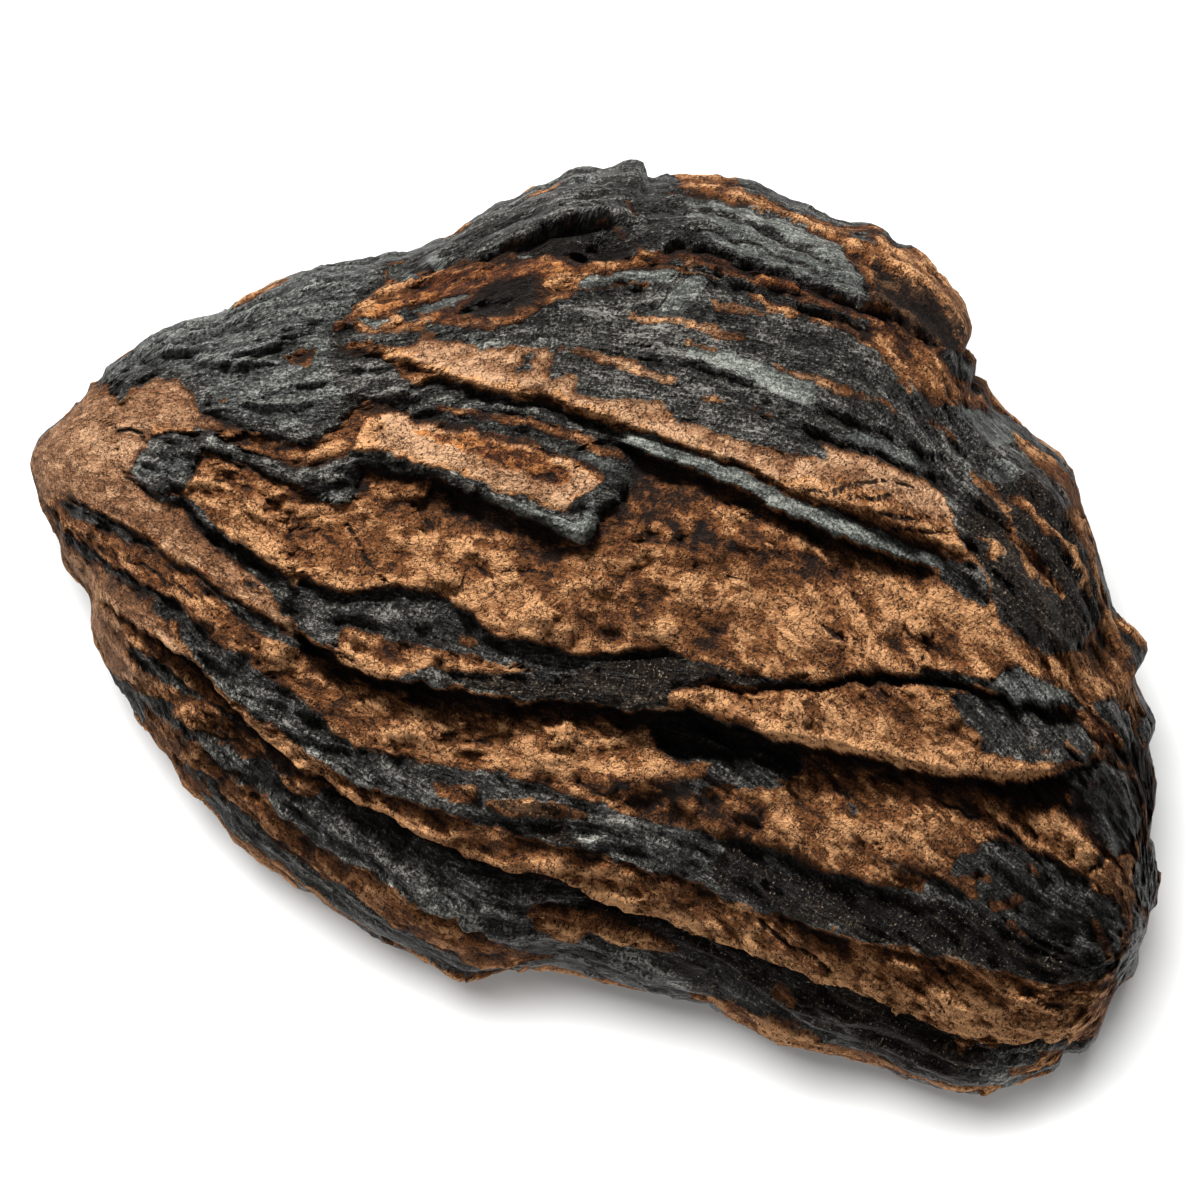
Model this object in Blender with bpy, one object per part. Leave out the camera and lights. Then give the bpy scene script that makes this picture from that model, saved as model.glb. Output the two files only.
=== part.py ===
"""Fossil mammoth tooth, a weathered molar lying on its side, as one closed solid.

The tooth is laid out in the frame of its showing side, in millimetres: a runs along the plates from the
worn tip, h runs across them and r comes out of that side. It is then turned to lie with a along X.
"""

import math

import bmesh
import bpy
import numpy as np

NAME = "mammoth_tooth"
AROUND = 112  # grid lines around the tooth, a multiple of four as the sphere starts on the Y axis
FRONT_LINES = 76  # how many of them are on the showing side
ALONG = 45  # rings from the tip to the broad end
FINE = 400  # samples along the rim before it is softened
SOFT = 41  # width of the softening, in samples
FRONT_DEPTH = 40.0  # how far the showing side bulges
BACK_DEPTH = 47.0  # how far the hidden side bulges
KEEL = 0.25  # how far the hidden bulge leans to the upper rim
SLOPE = 0.2065  # rise of r along a
TILT = 0.2  # how far the upper rim leans back
MIDDLE = 97.0  # a at which r is 0
ROLL = math.radians(20.95)  # turn of a below the horizontal of the drawn side
ELEVATION = math.radians(60.0)
AZIMUTH = math.radians(24.0)
CENTRE = (-89.6, 23.2)  # where a = h = 0 sits beside the middle of the drawn side
REACH = 1500.0  # distance over which the drawn side narrows to a point
FLAT = 4.5  # height cut off below, which leaves the face that it rests on

# The rim as seen from the showing side, from the tip to the broad end: a, h, a, h, ...
UPPER = (
    -1.3, 0, -1.2, 2.5, -0.5, 4, 0.5, 5.2, 2, 8, 3, 10.3, 3.6, 11.5, 3.4, 13.3, 4.8, 14.5, 4.8, 16.2, 6, 17.8,
    7.5, 19.8, 9, 22.5, 10.5, 24.3, 13, 26.8, 15, 28, 17.5, 29.3, 19.5, 31, 20.5, 33, 21.8, 35, 25, 38.3,
    28, 41, 32, 44.5, 35, 46, 39, 48, 40, 49.3, 42, 50.2, 44, 52, 46, 54, 49, 56, 50, 58, 52, 60.5,
    54, 63.3, 56, 64.8, 58, 67.3, 60, 68.8, 61.5, 69.8, 62.3, 71.5, 64, 73.2, 67, 74, 68, 74, 70, 76,
    72, 77, 73.5, 77, 74.5, 76.3, 75, 75.2, 77, 76.5, 80, 78, 82, 78.5, 86, 79.8, 88, 80.6, 91, 81.3,
    92.3, 81.5, 94, 81, 100, 81, 105, 80.5, 108, 81, 110, 82, 112, 82.4, 114, 81.7, 116, 80.3, 118, 80.5,
    120, 79.8, 124, 78, 128, 75.5, 131, 73, 132.3, 71.2, 132.3, 70, 132, 68.2, 134, 67.8, 134.8, 66.5,
    135, 64.8, 137, 64.6, 138, 63.5, 140, 62, 143, 60.5, 145, 59.7, 148, 58.6, 150, 58.2, 152, 57.8,
    155, 56.5, 157, 54, 158.5, 51.3, 160, 50, 163, 46.5, 166, 42.5, 168, 40, 169.5, 37.5, 171, 37,
    174, 35.5, 176.5, 34, 176.9, 32.8, 176, 30.8, 175.3, 30, 175.8, 29, 178, 26.5, 180, 25, 182, 23.3,
    182.5, 21.7, 181.8, 20, 183, 18.5, 185, 15.5, 186, 13, 186.8, 10, 186.8, 7, 187, 6, 189, 4.2,
    191, 1.8, 192, 0, 192, -1.8, 192.8, -3.2, 191.5, -4.8, 192, -6.5, 192.6, -8,
)
LOWER = (
    -1.3, 0, -1, -2, 0, -3.5, 3, -7, 4.5, -8.5, 6.5, -10.3, 8, -12, 9.5, -14.5, 12, -16.3, 15, -17.8,
    16, -19, 17, -21.5, 17.5, -23.2, 19, -24.8, 21, -26.3, 23, -28.3, 25, -30, 28, -32, 31, -34, 33, -35,
    36, -37, 39, -39.5, 40, -40.7, 43, -42, 46, -43, 48, -44, 49.5, -45, 51, -46, 54, -46.8, 57, -47.8,
    60, -48.2, 64, -49.6, 66, -49.5, 70, -51, 75, -51.9, 80, -52.8, 85, -53.2, 90, -53.6, 93, -54,
    96, -52.5, 100, -49.8, 105, -47.5, 110, -46.6, 115, -46.3, 120, -45.8, 125, -44.8, 132, -43.5,
    135, -44.3, 140, -45, 145, -45.2, 150, -44.8, 155, -43.5, 160, -43, 165, -43.5, 170, -43, 175, -42.2,
    177.5, -41.5, 180, -39.5, 182, -37.8, 184.5, -35.8, 186.5, -34.2, 187.3, -33, 187, -31.5, 188, -30.7,
    190, -29.8, 190.7, -28.5, 191.3, -26.5, 191.3, -24, 191.2, -21, 191.3, -18.5, 192, -17, 193.2, -15,
    193.3, -13.5, 192.7, -12, 192, -10, 192.6, -8,
)

# Ledges between plates: lift above the edge and its fade, drop below it and its fade, then the edge's path.
LEDGES = (
    # crust of the upper left, and the ridge that ends broken off over a hollow
    (1.0, 4, 1.8, 2.5, (
        5, 15, 7, 16.5, 9, 19.5, 12, 20.3, 16, 23.8, 21, 23, 25, 24.8, 27, 28, 29, 31, 33, 34, 36, 37.5,
    )),
    (1.4, 5, 2.6, 3.5, (44, 49, 48, 51, 52, 53.5, 57, 57, 61, 61, 65, 65, 70, 67.6, 74, 67.4, 77, 65.3)),
    # stack of plates along the top
    (0.5, 2, 0.9, 1.6, (
        76, 74, 80, 75.3, 84, 76.6, 90, 77.4, 97, 77.6, 103, 77.3, 108, 76.5, 113, 75.8, 124, 75.6,
    )),
    (0.4, 1.5, 0.6, 1, (78, 72.8, 84, 73.5, 90, 74.5, 97, 74.7, 103, 74.2, 110, 73.5)),
    (0.4, 1.5, 0.5, 1, (80, 70.5, 86, 71, 91, 72, 97, 71, 104, 71.5, 111, 71.5)),
    (0.9, 3, 2.0, 2, (
        78, 65.2, 80, 65.5, 83, 67.3, 87, 69, 90, 69.3, 97, 69, 103, 69.6, 112, 69.7, 120, 70.3,
        126, 68.8, 131, 68.3,
    )),
    (0.3, 2, 1.6, 1.4, (80, 64, 84, 65, 90, 65.3, 95, 65.8, 103, 65.8, 108, 66.3, 113, 66.5, 120, 66.2)),
    # dark slab and its layers
    (0.4, 2, 0.8, 1.2, (92, 57.6, 98, 57.4, 105, 56.8, 115, 56.4, 125, 56.6, 130, 56.2)),
    (0.9, 2.5, 1.5, 1.6, (
        79, 50.5, 85, 50.9, 90, 51.2, 95, 51.4, 103, 51.3, 110, 50.9, 118, 51.3, 126, 51.2, 136, 50.8,
        140, 51.5,
    )),
    (0.5, 1.5, 1.2, 1.2, (96, 47.3, 105, 47.6, 115, 47.8, 120, 48, 128, 48, 134, 48.6, 140, 49)),
    (1.0, 4, 1.6, 1.6, (
        40, 33.4, 45, 34.3, 50, 34.6, 55, 34.8, 60, 35.4, 65, 35.7, 70, 37, 75, 37.7, 80, 38, 92, 38,
        98, 38.2, 110, 38.3, 115, 37.8, 120, 37.2, 130, 36.9, 141, 37,
    )),
    (0.3, 2, 2.6, 1.8, (49, 30.8, 53, 33.3, 56, 34.4, 60, 35, 66, 35.4, 72, 36.2, 80, 36.8, 89, 36.5)),
    (0.3, 1, 0.9, 1, (56, 31, 60, 32.3, 66, 33.2, 72, 34, 80, 34.2, 87, 33.8)),
    (1.8, 3, 4.6, 4, (
        85, 35, 92, 34.9, 100, 34.8, 108, 34.3, 115, 33.6, 122, 33.1, 130, 33, 136, 33.4, 143, 33.4,
    )),
    # short slab with a broken end, and the line of enamel below it
    (-1.2, 4, 0, 1, (50, 25.5, 62, 25.3, 72, 25.3, 84, 25.3)),
    (0.5, 2, 2.4, 3, (45, 15.4, 48, 16.6, 52, 17.3, 58, 18.5, 66, 18.9, 74, 18.7, 80, 18.3, 86.5, 17.8)),
    # wide bulge, the speckled lens below it and the tongue at the right
    (1.2, 5, 2.4, 2.6, (
        19, 0.5, 24, 1.8, 27, 0, 30, -1.2, 34, -1.7, 40, -2.5, 43, -4, 46, -3, 50, -3, 52, -3.2, 55, -1.5,
        60, 0.5, 66, 2.2, 72, 2, 73.5, 1.8, 75, 0, 79, -0.8, 82, 0.3, 88, 1, 92, 1.3, 96, 2.6, 100, 4.5,
        105, 6.3, 110, 6,
    )),
    (1.0, 5, 2.6, 3.5, (
        109, 2, 114, 4, 120, 5.4, 126, 8.6, 130, 11, 135, 13.5, 140, 16, 145, 17.6, 150, 18.4, 155, 18.8,
        160, 18.5, 166, 19.5, 171, 21,
    )),
    (2.0, 5, 6.2, 4.2, (
        47, -11.8, 52, -12.5, 55, -13, 60, -13.7, 65, -13, 68, -12.3, 72, -12, 80, -10.3, 86, -9, 90, -7,
        95, -5.5, 100, -5, 104, -4.8, 108, -3.2, 112, -1.8, 116, -1, 120, -0.3, 128, 0.3, 134, 1,
        140, 1.8, 146, 2.5, 152, 4, 158, 5, 162, 6, 166, 7.5, 170, 10, 174, 13,
    )),
    (-0.9, 3, 0, 1, (124, 1.6, 130, 2.6, 135, 3.2, 142, 4, 146, 6.2, 155, 5.7, 162, 6.2)),
    # bands of the lower half
    (0.8, 3, 0.9, 1.5, (
        31, -20, 34, -21.5, 37, -23.5, 41, -25, 47, -27.3, 52, -28.5, 60, -29.8, 66, -30.9, 70, -31,
        80, -30.2, 90, -29, 100, -29, 103, -28, 110, -27.5, 120, -26.3, 124, -26, 129, -27.2, 133, -27,
        140, -25.8, 150, -25.5, 160, -24, 170, -22.2, 180, -22, 187, -20.5, 190, -16,
    )),
    (1.2, 4, 4.2, 3, (
        26, -20.8, 35, -22.5, 41, -25.8, 45, -28.5, 50, -30.2, 53, -30.8, 57, -31.5, 62, -32, 65, -33.5,
        69, -34.2, 72, -34, 77, -36, 80, -35.7, 90, -36.5, 95, -35.6, 98, -34.5, 101, -34.2, 106, -35,
        112, -34.8, 120, -34.3, 130, -34.3, 136, -33.8, 147, -34.5, 150, -33.6, 155, -33.3, 160, -34.3,
        175, -34.8, 180, -32, 184, -30, 188, -28, 191, -25,
    )),
    (0.6, 2, 0.9, 1.6, (
        30, -32.5, 35, -33, 42, -35.5, 48, -37.5, 53, -39, 58, -40.3, 63, -42, 68, -43.2, 74, -44.2,
        80, -45.4, 85, -46, 97, -46.7, 103, -46, 110, -45.6, 122, -44.6,
    )),
    (0.8, 3, 1.3, 2, (
        33, -35, 40, -37.5, 44, -39, 48, -41, 53, -42, 58, -43.7, 64, -45.7, 70, -47, 74, -48.5,
        80, -50.3, 90, -50.4, 95, -51.3, 98, -50.3, 103, -48.3, 109, -46.8,
    )),
    # thin layers that run to the tip
    (0.6, 3, 1.2, 2, (4, -4.6, 9, -4.6, 14, -5.4, 18, -6.2, 23, -7.4, 30, -9, 36, -10.2, 42, -11, 48, -12)),
    (0.5, 3, 0.9, 2, (3, -6, 7, -8.4, 10, -10, 14, -11.8, 18, -12.6, 24, -13.2, 29, -14, 32, -15.5)),
    (0.6, 3, 1.4, 2, (15, -18.3, 18, -18.7, 22, -20, 26, -21, 30, -21.6, 36, -22.8)),
    (0.5, 2, 0.8, 1.5, (17, -21, 21, -22, 25, -23.6, 30, -25.2, 35, -26, 40, -27.6, 46, -29.6)),
    (0.4, 2, 0.8, 1.5, (20, -26, 25, -28.6, 29, -30, 33, -31, 38, -32, 46, -33)),
)

# Raised and sunken places: height, softness of the edge, then the outline. Negative heights are hollows.
PATCHES = (
    (1.3, 1.2, (
        3, 13, 5, 14.6, 9.8, 12.3, 10.3, 15, 14.5, 18.6, 17, 19, 21, 16.2, 25, 15.7, 36, 16, 39.5, 16.5,
        43, 20.5, 45.5, 26.3, 51, 27.5, 54, 31.5, 47.5, 33.2, 45, 34, 39.5, 32.5, 37, 36, 38, 41, 44, 50,
        40, 52, 25, 41, 12, 28, 3, 18,
    )),
    (-2.0, 2.0, (
        60, 59.5, 64, 61, 67, 61.5, 68, 63, 71, 66.5, 74, 67, 77, 64.8, 78, 63.5, 74, 61.5, 70, 59.5,
        66, 58.5, 62, 58,
    )),
    (-1.5, 1.8, (55, 45, 60, 48, 64, 52, 63, 54.5, 60, 51, 56, 48.5, 54.5, 46)),
    (1.2, 0.8, (
        113, 76.3, 115, 79.3, 118, 81, 122, 79.5, 127, 77, 131, 74, 133, 71, 131, 69.8, 126, 74,
        118, 75.8,
    )),
    (1.0, 0.7, (128.5, 66.5, 131, 68.4, 134, 68, 135.3, 65, 133.5, 63.3, 131, 64.8)),
    (0.8, 0.7, (122, 67.5, 125, 68.3, 131, 63.8, 138, 60.5, 134, 60.5, 130, 63, 126, 65.3)),
    (1.2, 0.8, (70, 56, 74, 57.3, 80, 59.8, 84.5, 61.5, 86, 63, 84, 63.8, 80, 62, 75, 59.5, 70, 57.3)),
    (2.4, 1.2, (
        114, 38.2, 120, 37.6, 130, 37.4, 139, 37.4, 145, 38, 145, 41, 142, 43.4, 138, 46, 132, 47.3,
        124, 46.8, 117, 46, 113, 42,
    )),
    (3.4, 0.9, (
        46.5, 17.6, 52, 18.2, 58, 19.2, 65, 19.5, 72, 19.2, 80, 18.7, 86.3, 18, 88, 21, 89, 25,
        90.3, 30.3, 86, 29.6, 80, 29.9, 70, 29.3, 64, 28.8, 58, 27.5, 50, 26.6, 46.5, 24,
    )),
    (2.3, 0.7, (
        21.5, 13.2, 24, 13.6, 31, 12.7, 37, 12.8, 41, 14, 44, 15.5, 47, 17.5, 48.8, 16, 49.6, 13,
        49, 10.5, 47, 9.6, 41, 10.3, 37, 9.7, 30, 10.2, 26, 10.8, 23, 11,
    )),
    (2.0, 0.6, (
        15, 3.5, 15, 9.3, 16.5, 10.5, 20, 11.6, 23.3, 11, 23.4, 6, 22.5, 3.5, 20.5, 1.5, 18.5, 0.5,
    )),
    (1.0, 0.8, (
        87, -7, 92, -2, 96, 1, 98, 3, 107, 5.8, 112, 6.5, 118, 7, 126, 9, 120, 5.5, 114, 4.5, 109, 2.5,
        108, -2.5, 105, -4.3, 97, -4.6,
    )),
    (2.2, 1.0, (
        105, -2.4, 112, -1.6, 120, 0, 128, 0.5, 140, 2, 150, 4, 158, 5, 165, 7.5, 170, 10, 174, 14,
        175, 17, 172, 18.3, 160, 18.5, 150, 18.2, 140, 15, 130, 10, 120, 5, 112, 3.5,
    )),
    (-2.8, 1.0, (
        106, -6, 109, -3.5, 114, -1.5, 131.5, -0.5, 132.5, -4, 131, -6, 127, -5.5, 122, -6, 117, -8.5,
        113, -9.5, 109, -9,
    )),
    (1.0, 0.8, (
        99, -39.5, 101, -38.7, 106, -38.2, 110, -37, 121, -37.5, 123, -38.5, 113, -40.5, 109, -40.2,
        104, -42.3, 98.8, -40.8,
    )),
    (0.9, 0.8, (155.5, 20, 157, 23.5, 159, 24.2, 167, 23.3, 171.5, 21.3, 164, 19.5, 160, 18.5, 157, 18.8)),
    (1.0, 0.7, (
        171, 11.5, 176, 15.3, 179, 14.8, 182, 12.8, 184.2, 9.5, 185.3, 6.5, 184.8, 4.5, 183.2, 2.2,
        181.6, 2.6, 179.5, 4.8, 175, 9.2, 171, 9.6,
    )),
    (0.9, 0.7, (171.5, 23.5, 174, 24.8, 177, 23.7, 179.8, 20, 178, 16.8, 176, 20.5, 173, 21.8)),
    (-1.4, 1.2, (172, 17, 176, 17, 181, 15, 185, 11, 186.5, 6, 186.8, 12, 184, 17, 180, 19, 176, 19)),
)

# Round-ended fingers of the plates at the upper right: height, half width, then the line of each.
FINGERS = (
    (2.4, 2.6, (139, 50, 146, 47.5, 152, 45, 158, 42, 163, 38, 165.5, 34)),
    (2.4, 2.8, (140, 45, 146, 42.5, 151, 39.5, 156, 36, 161, 33, 164, 30.5)),
    (1.8, 2.4, (143, 38, 148, 36, 153, 32.5, 158, 30.4, 162, 29)),
    (1.6, 2.0, (140, 55.5, 146, 54, 151, 51.8, 156, 49, 160, 45.5, 164, 40)),
)


def noise(p: np.ndarray, scale: float, seed: int) -> np.ndarray:
    """Smooth lattice noise from -1 to 1 at the points p (n, 3)."""
    q = p / scale + seed * 17.37
    cell = np.floor(q).astype(np.int64)
    f = q - cell
    f = f * f * (3 - 2 * f)
    total = np.zeros(len(p))
    for corner in range(8):
        pick = np.array([corner & 1, corner >> 1 & 1, corner >> 2])
        n = cell + pick
        n = n[:, 0] * 73856093 ^ n[:, 1] * 19349663 ^ n[:, 2] * 83492791
        n = ((n ^ (n >> 13)) * 1274126177) & 0x7FFFFFFF
        n = (n ^ (n >> 16)) & 0xFFFF
        total += np.prod(np.where(pick, f, 1 - f), axis=1) * (n / 32767.5 - 1)
    return total


def ramp(x: np.ndarray) -> np.ndarray:
    """Smooth step from 0 at x = 0 to 1 at x = 1."""
    x = np.clip(x, 0, 1)
    return x * x * (3 - 2 * x)


def pairs(flat: tuple) -> np.ndarray:
    """The flat list a, h, a, h, ... as an array of points."""
    return np.array(flat, float).reshape(-1, 2)


def ledge(a: np.ndarray, h: np.ndarray, spec: tuple) -> np.ndarray:
    """Height of one ledge at the points (a, h)."""
    lift, up, drop, down, path = spec
    pa, ph = pairs(path).T
    edge = np.interp(a, pa, ph)
    slope = (np.interp(a + 1, pa, ph) - np.interp(a - 1, pa, ph)) / 2
    d = (h - edge) / np.sqrt(1 + slope * slope)
    fade = ramp((a - pa[0]) / 5) * ramp((pa[-1] - a) / 5)
    over = ramp(d / 0.9 + 0.5)
    high = lift * np.exp(-np.maximum(d, 0) / up)
    low = drop * np.exp(np.minimum(d, 0) / down)
    return fade * (over * high - (1 - over) * low)


def inside(a: np.ndarray, h: np.ndarray, outline: np.ndarray) -> np.ndarray:
    """Distance into a closed outline, negative outside it."""
    best = np.full(len(a), 1e9)
    odd = np.zeros(len(a), bool)
    for (x0, y0), (x1, y1) in zip(outline, np.roll(outline, -1, axis=0)):
        dx, dy = x1 - x0, y1 - y0
        t = np.clip(((a - x0) * dx + (h - y0) * dy) / (dx * dx + dy * dy + 1e-9), 0, 1)
        best = np.minimum(best, np.hypot(a - x0 - t * dx, h - y0 - t * dy))
        if y0 != y1:
            odd ^= ((y0 > h) != (y1 > h)) & (a < x0 + (h - y0) * dx / dy)
    return np.where(odd, best, -best)


def along(a: np.ndarray, h: np.ndarray, line: np.ndarray) -> np.ndarray:
    """Distance from an open line."""
    best = np.full(len(a), 1e9)
    for (x0, y0), (x1, y1) in zip(line[:-1], line[1:]):
        dx, dy = x1 - x0, y1 - y0
        t = np.clip(((a - x0) * dx + (h - y0) * dy) / (dx * dx + dy * dy), 0, 1)
        best = np.minimum(best, np.hypot(a - x0 - t * dx, h - y0 - t * dy))
    return best


def back_ledges(upper: np.ndarray, lower: np.ndarray) -> list:
    """Ledges of the hidden side, one for each plate, between the softened rims."""
    found = []
    for k in range(8):
        share = -0.87 + 0.235 * k
        line = []
        for i in range(14, FINE - 12, 16):
            wave = 0.035 * math.sin(i / 23 + 1.7 * k) + 0.02 * math.sin(i / 9 + k)
            s = (share + wave + 1) / 2
            point = lower[i] + (upper[i] - lower[i]) * s
            line.extend((float(point[0]), float(point[1])))
        found.append((1.3, 5, 2.6 + 0.9 * math.sin(2.4 * k), 4, tuple(line)))
    return found


def rim(flat: tuple) -> tuple[np.ndarray, np.ndarray]:
    """The rim at equal steps, as given and softened."""
    p = pairs(flat)
    s = np.concatenate([[0], np.cumsum(np.hypot(*np.diff(p, axis=0).T))])
    v = np.linspace(0, s[-1], FINE)
    exact = np.stack([np.interp(v, s, p[:, k]) for k in (0, 1)], axis=1)
    half = SOFT // 2
    before = 2 * exact[0] - exact[half:0:-1]
    after = 2 * exact[-1] - exact[-2 : -half - 2 : -1]
    long = np.concatenate([before, exact, after])
    kernel = np.hanning(SOFT + 2)[1:-1]
    kernel /= kernel.sum()
    soft = np.stack([np.convolve(long[:, k], kernel, "valid") for k in (0, 1)], axis=1)
    return exact, soft


def body(v: np.ndarray, theta: np.ndarray, rims: tuple) -> tuple[np.ndarray, ...]:
    """Smooth body at v (0 at the tip, 1 at the broad end) and theta (0 at the upper rim, front first)."""
    (upper, upper_soft), (lower, lower_soft) = rims
    at = v * (FINE - 1)
    index = np.arange(FINE)

    def pick(table: np.ndarray, k: int) -> np.ndarray:
        return np.interp(at, index, table[:, k])

    c, s = np.cos(theta), np.sin(theta)
    top, bottom = np.maximum(c, 0) ** 10, np.maximum(-c, 0) ** 10
    out = []
    for k in (0, 1):
        us, ls = pick(upper_soft, k), pick(lower_soft, k)
        place = (us + ls) / 2 + (us - ls) / 2 * c
        out.append(place + top * (pick(upper, k) - us) + bottom * (pick(lower, k) - ls))
    a, h = out
    middle = (pick(upper_soft, 1) + pick(lower_soft, 1)) / 2
    x = 2 * v - 1
    full = (1 - np.abs(x) ** np.where(x < 0, 2.3, 2.8)).clip(0) ** 0.6
    depth = np.abs(s) ** 0.85 * full
    depth = np.where(s >= 0, FRONT_DEPTH * depth, -BACK_DEPTH * depth * (1 + KEEL * c))
    r = SLOPE * (a - MIDDLE) - TILT * (h - middle) + depth
    return a, h, r


def relief(a: np.ndarray, h: np.ndarray, r: np.ndarray, front: np.ndarray, hidden: list) -> np.ndarray:
    """Height of the surface over the smooth body."""
    p = np.stack([a, h, r], axis=1)
    long = p * (0.45, 1, 1)
    aw = a + 1.0 * noise(p, 9, 1) + 0.4 * noise(p, 2.6, 2)
    hw = h + 0.8 * noise(long, 7, 3) + 0.3 * noise(p, 2.3, 4)
    shown = np.zeros(len(a))
    for spec in LEDGES:
        shown += ledge(aw, hw, spec) * (1 + 0.35 * noise(p, 17, 5))
    for height, soft, outline in PATCHES:
        shown += height * ramp(inside(aw, hw, pairs(outline)) / soft)
    for height, width, line in FINGERS:
        d = np.clip(along(aw, hw, pairs(line)) / width, 0, 1)
        shown += height * np.sqrt(1 - d * d)
    behind = np.zeros(len(a))
    for spec in hidden:
        behind += ledge(aw, hw, spec) * (1 + 0.5 * noise(p, 21, 6))
    rough = 0.9 * noise(long, 15, 7) + 0.5 * noise(long, 5.5, 8) + 0.25 * noise(long, 2.4, 9)
    return front * shown + (1 - front) * behind + rough


def surface(v: np.ndarray, theta: np.ndarray, rims: tuple, hidden: list) -> tuple[np.ndarray, ...]:
    """The finished surface in the frame of the showing side, and its relief."""
    a, h, r = body(v, theta, rims)
    c, s = np.cos(theta), np.sin(theta)
    front = np.where(s >= 0, 1.0, ramp((np.abs(c) - 0.9) / 0.1))
    height = relief(a, h, r, front, hidden)
    ends = ramp(v / 0.04) * ramp((1 - v) / 0.03)
    side = c * np.abs(c) ** 3
    toward = np.where(s >= 0, 1.0, -1.0) * np.sqrt(1 - side * side)
    reach = height * ends * (1 - 0.5 * ramp((np.abs(c) - 0.85) / 0.15))
    return a, h + side * reach, r + toward * reach, height


def to_world(a: np.ndarray, h: np.ndarray, r: np.ndarray) -> np.ndarray:
    """Turns the frame of the showing side to the resting pose, still in millimetres."""
    near = 1 - r / REACH
    p = (a * math.cos(ROLL) + h * math.sin(ROLL) + CENTRE[0]) * near
    q = (h * math.cos(ROLL) - a * math.sin(ROLL) + CENTRE[1]) * near
    se, ce, sa, ca = math.sin(ELEVATION), math.cos(ELEVATION), math.sin(AZIMUTH), math.cos(AZIMUTH)
    x = p * ca - q * sa * se + r * sa * ce
    y = p * sa + q * ca * se - r * ca * ce
    z = q * ce + r * se
    return np.stack([x, y, z], axis=1)


def grid(rims: tuple, hidden: list) -> tuple[np.ndarray, np.ndarray]:
    """v and theta of each grid point, the lines drawn together where the relief is steep."""
    v = np.linspace(0, 1, ALONG + 1)
    dense = np.linspace(0, math.pi, 361)
    vv, tt = np.meshgrid(v, dense, indexing="ij")
    height = surface(vv.ravel(), tt.ravel(), rims, hidden)[3].reshape(vv.shape)
    steep = np.abs(np.gradient(height, axis=1)) / np.gradient(dense)[0]
    weight = 1 + np.clip(steep / 45, 0, 2.2)
    kernel = np.ones(5) / 5
    weight = np.apply_along_axis(lambda w: np.convolve(np.pad(w, 2, "edge"), kernel, "valid"), 1, weight)
    theta = np.zeros((ALONG + 1, AROUND))
    for i, row in enumerate(weight):
        total = np.concatenate([[0], np.cumsum((row[1:] + row[:-1]) / 2)])
        lines = np.linspace(0, total[-1], FRONT_LINES + 1)
        theta[i, : FRONT_LINES + 1] = np.interp(lines, total, dense)
        rest = np.linspace(math.pi, 2 * math.pi, AROUND - FRONT_LINES + 1)
        theta[i, FRONT_LINES:] = rest[:-1]
    return np.repeat(v[:, None], AROUND, axis=1), theta


def main() -> None:
    """Builds the tooth."""
    for old in list(bpy.data.objects):
        bpy.data.objects.remove(old)
    rims = (rim(UPPER), rim(LOWER))
    hidden = back_ledges(rims[0][1], rims[1][1])
    v, theta = grid(rims, hidden)
    a, h, r, _ = surface(v.ravel(), theta.ravel(), rims, hidden)
    points = to_world(a, h, r)
    floor = points[:, 2].min() + FLAT
    points[:, 2] = np.maximum(points[:, 2], floor)
    low, high = points.min(axis=0), points.max(axis=0)
    shift = np.array([(low[0] + high[0]) / 2, (low[1] + high[1]) / 2, floor])
    print("shift of the frame, mm:", [round(float(x), 3) for x in shift], "size:", (high - low).round(2))
    points = ((points - shift) / 1000).reshape(ALONG + 1, AROUND, 3)

    bm = bmesh.new()
    bmesh.ops.create_uvsphere(bm, u_segments=AROUND, v_segments=ALONG, radius=1.0)
    for vert in bm.verts:
        ring = round(math.acos(max(-1.0, min(1.0, vert.co.z))) / math.pi * ALONG)
        line = round(math.atan2(vert.co.y, vert.co.x) / (2 * math.pi) * AROUND) % AROUND
        vert.co = points[ring, line if 0 < ring < ALONG else 0]
    bmesh.ops.triangulate(bm, faces=list(bm.faces), quad_method="SHORT_EDGE")
    bmesh.ops.recalc_face_normals(bm, faces=list(bm.faces))
    mesh = bpy.data.meshes.new(NAME)
    bm.to_mesh(mesh)
    bm.free()

    material = bpy.data.materials.new("fossil_cement")
    material.use_nodes = True
    shader = material.node_tree.nodes["Principled BSDF"]
    shader.inputs["Base Color"].default_value = (0.27, 0.13, 0.06, 1.0)
    shader.inputs["Roughness"].default_value = 0.75
    mesh.materials.append(material)
    tooth = bpy.data.objects.new(NAME, mesh)
    group = bpy.data.collections.new("fossil_mammoth_tooth")
    bpy.context.scene.collection.children.link(group)
    group.objects.link(tooth)


main()
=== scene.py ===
"""Looks of the fossil mammoth tooth, a weathered molar that lies on its side.

The tooth is worked out in the frame of its showing side, in millimetres: a runs along the plates from the
worn tip, h runs across them and r comes out of that side. Pose turns it to the resting pose of the CAD.
"""

from __future__ import annotations

import logging
import math
from dataclasses import dataclass
from enum import Enum
from typing import NamedTuple

import bpy
import numpy as np
from mathutils import Matrix, Vector


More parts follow.
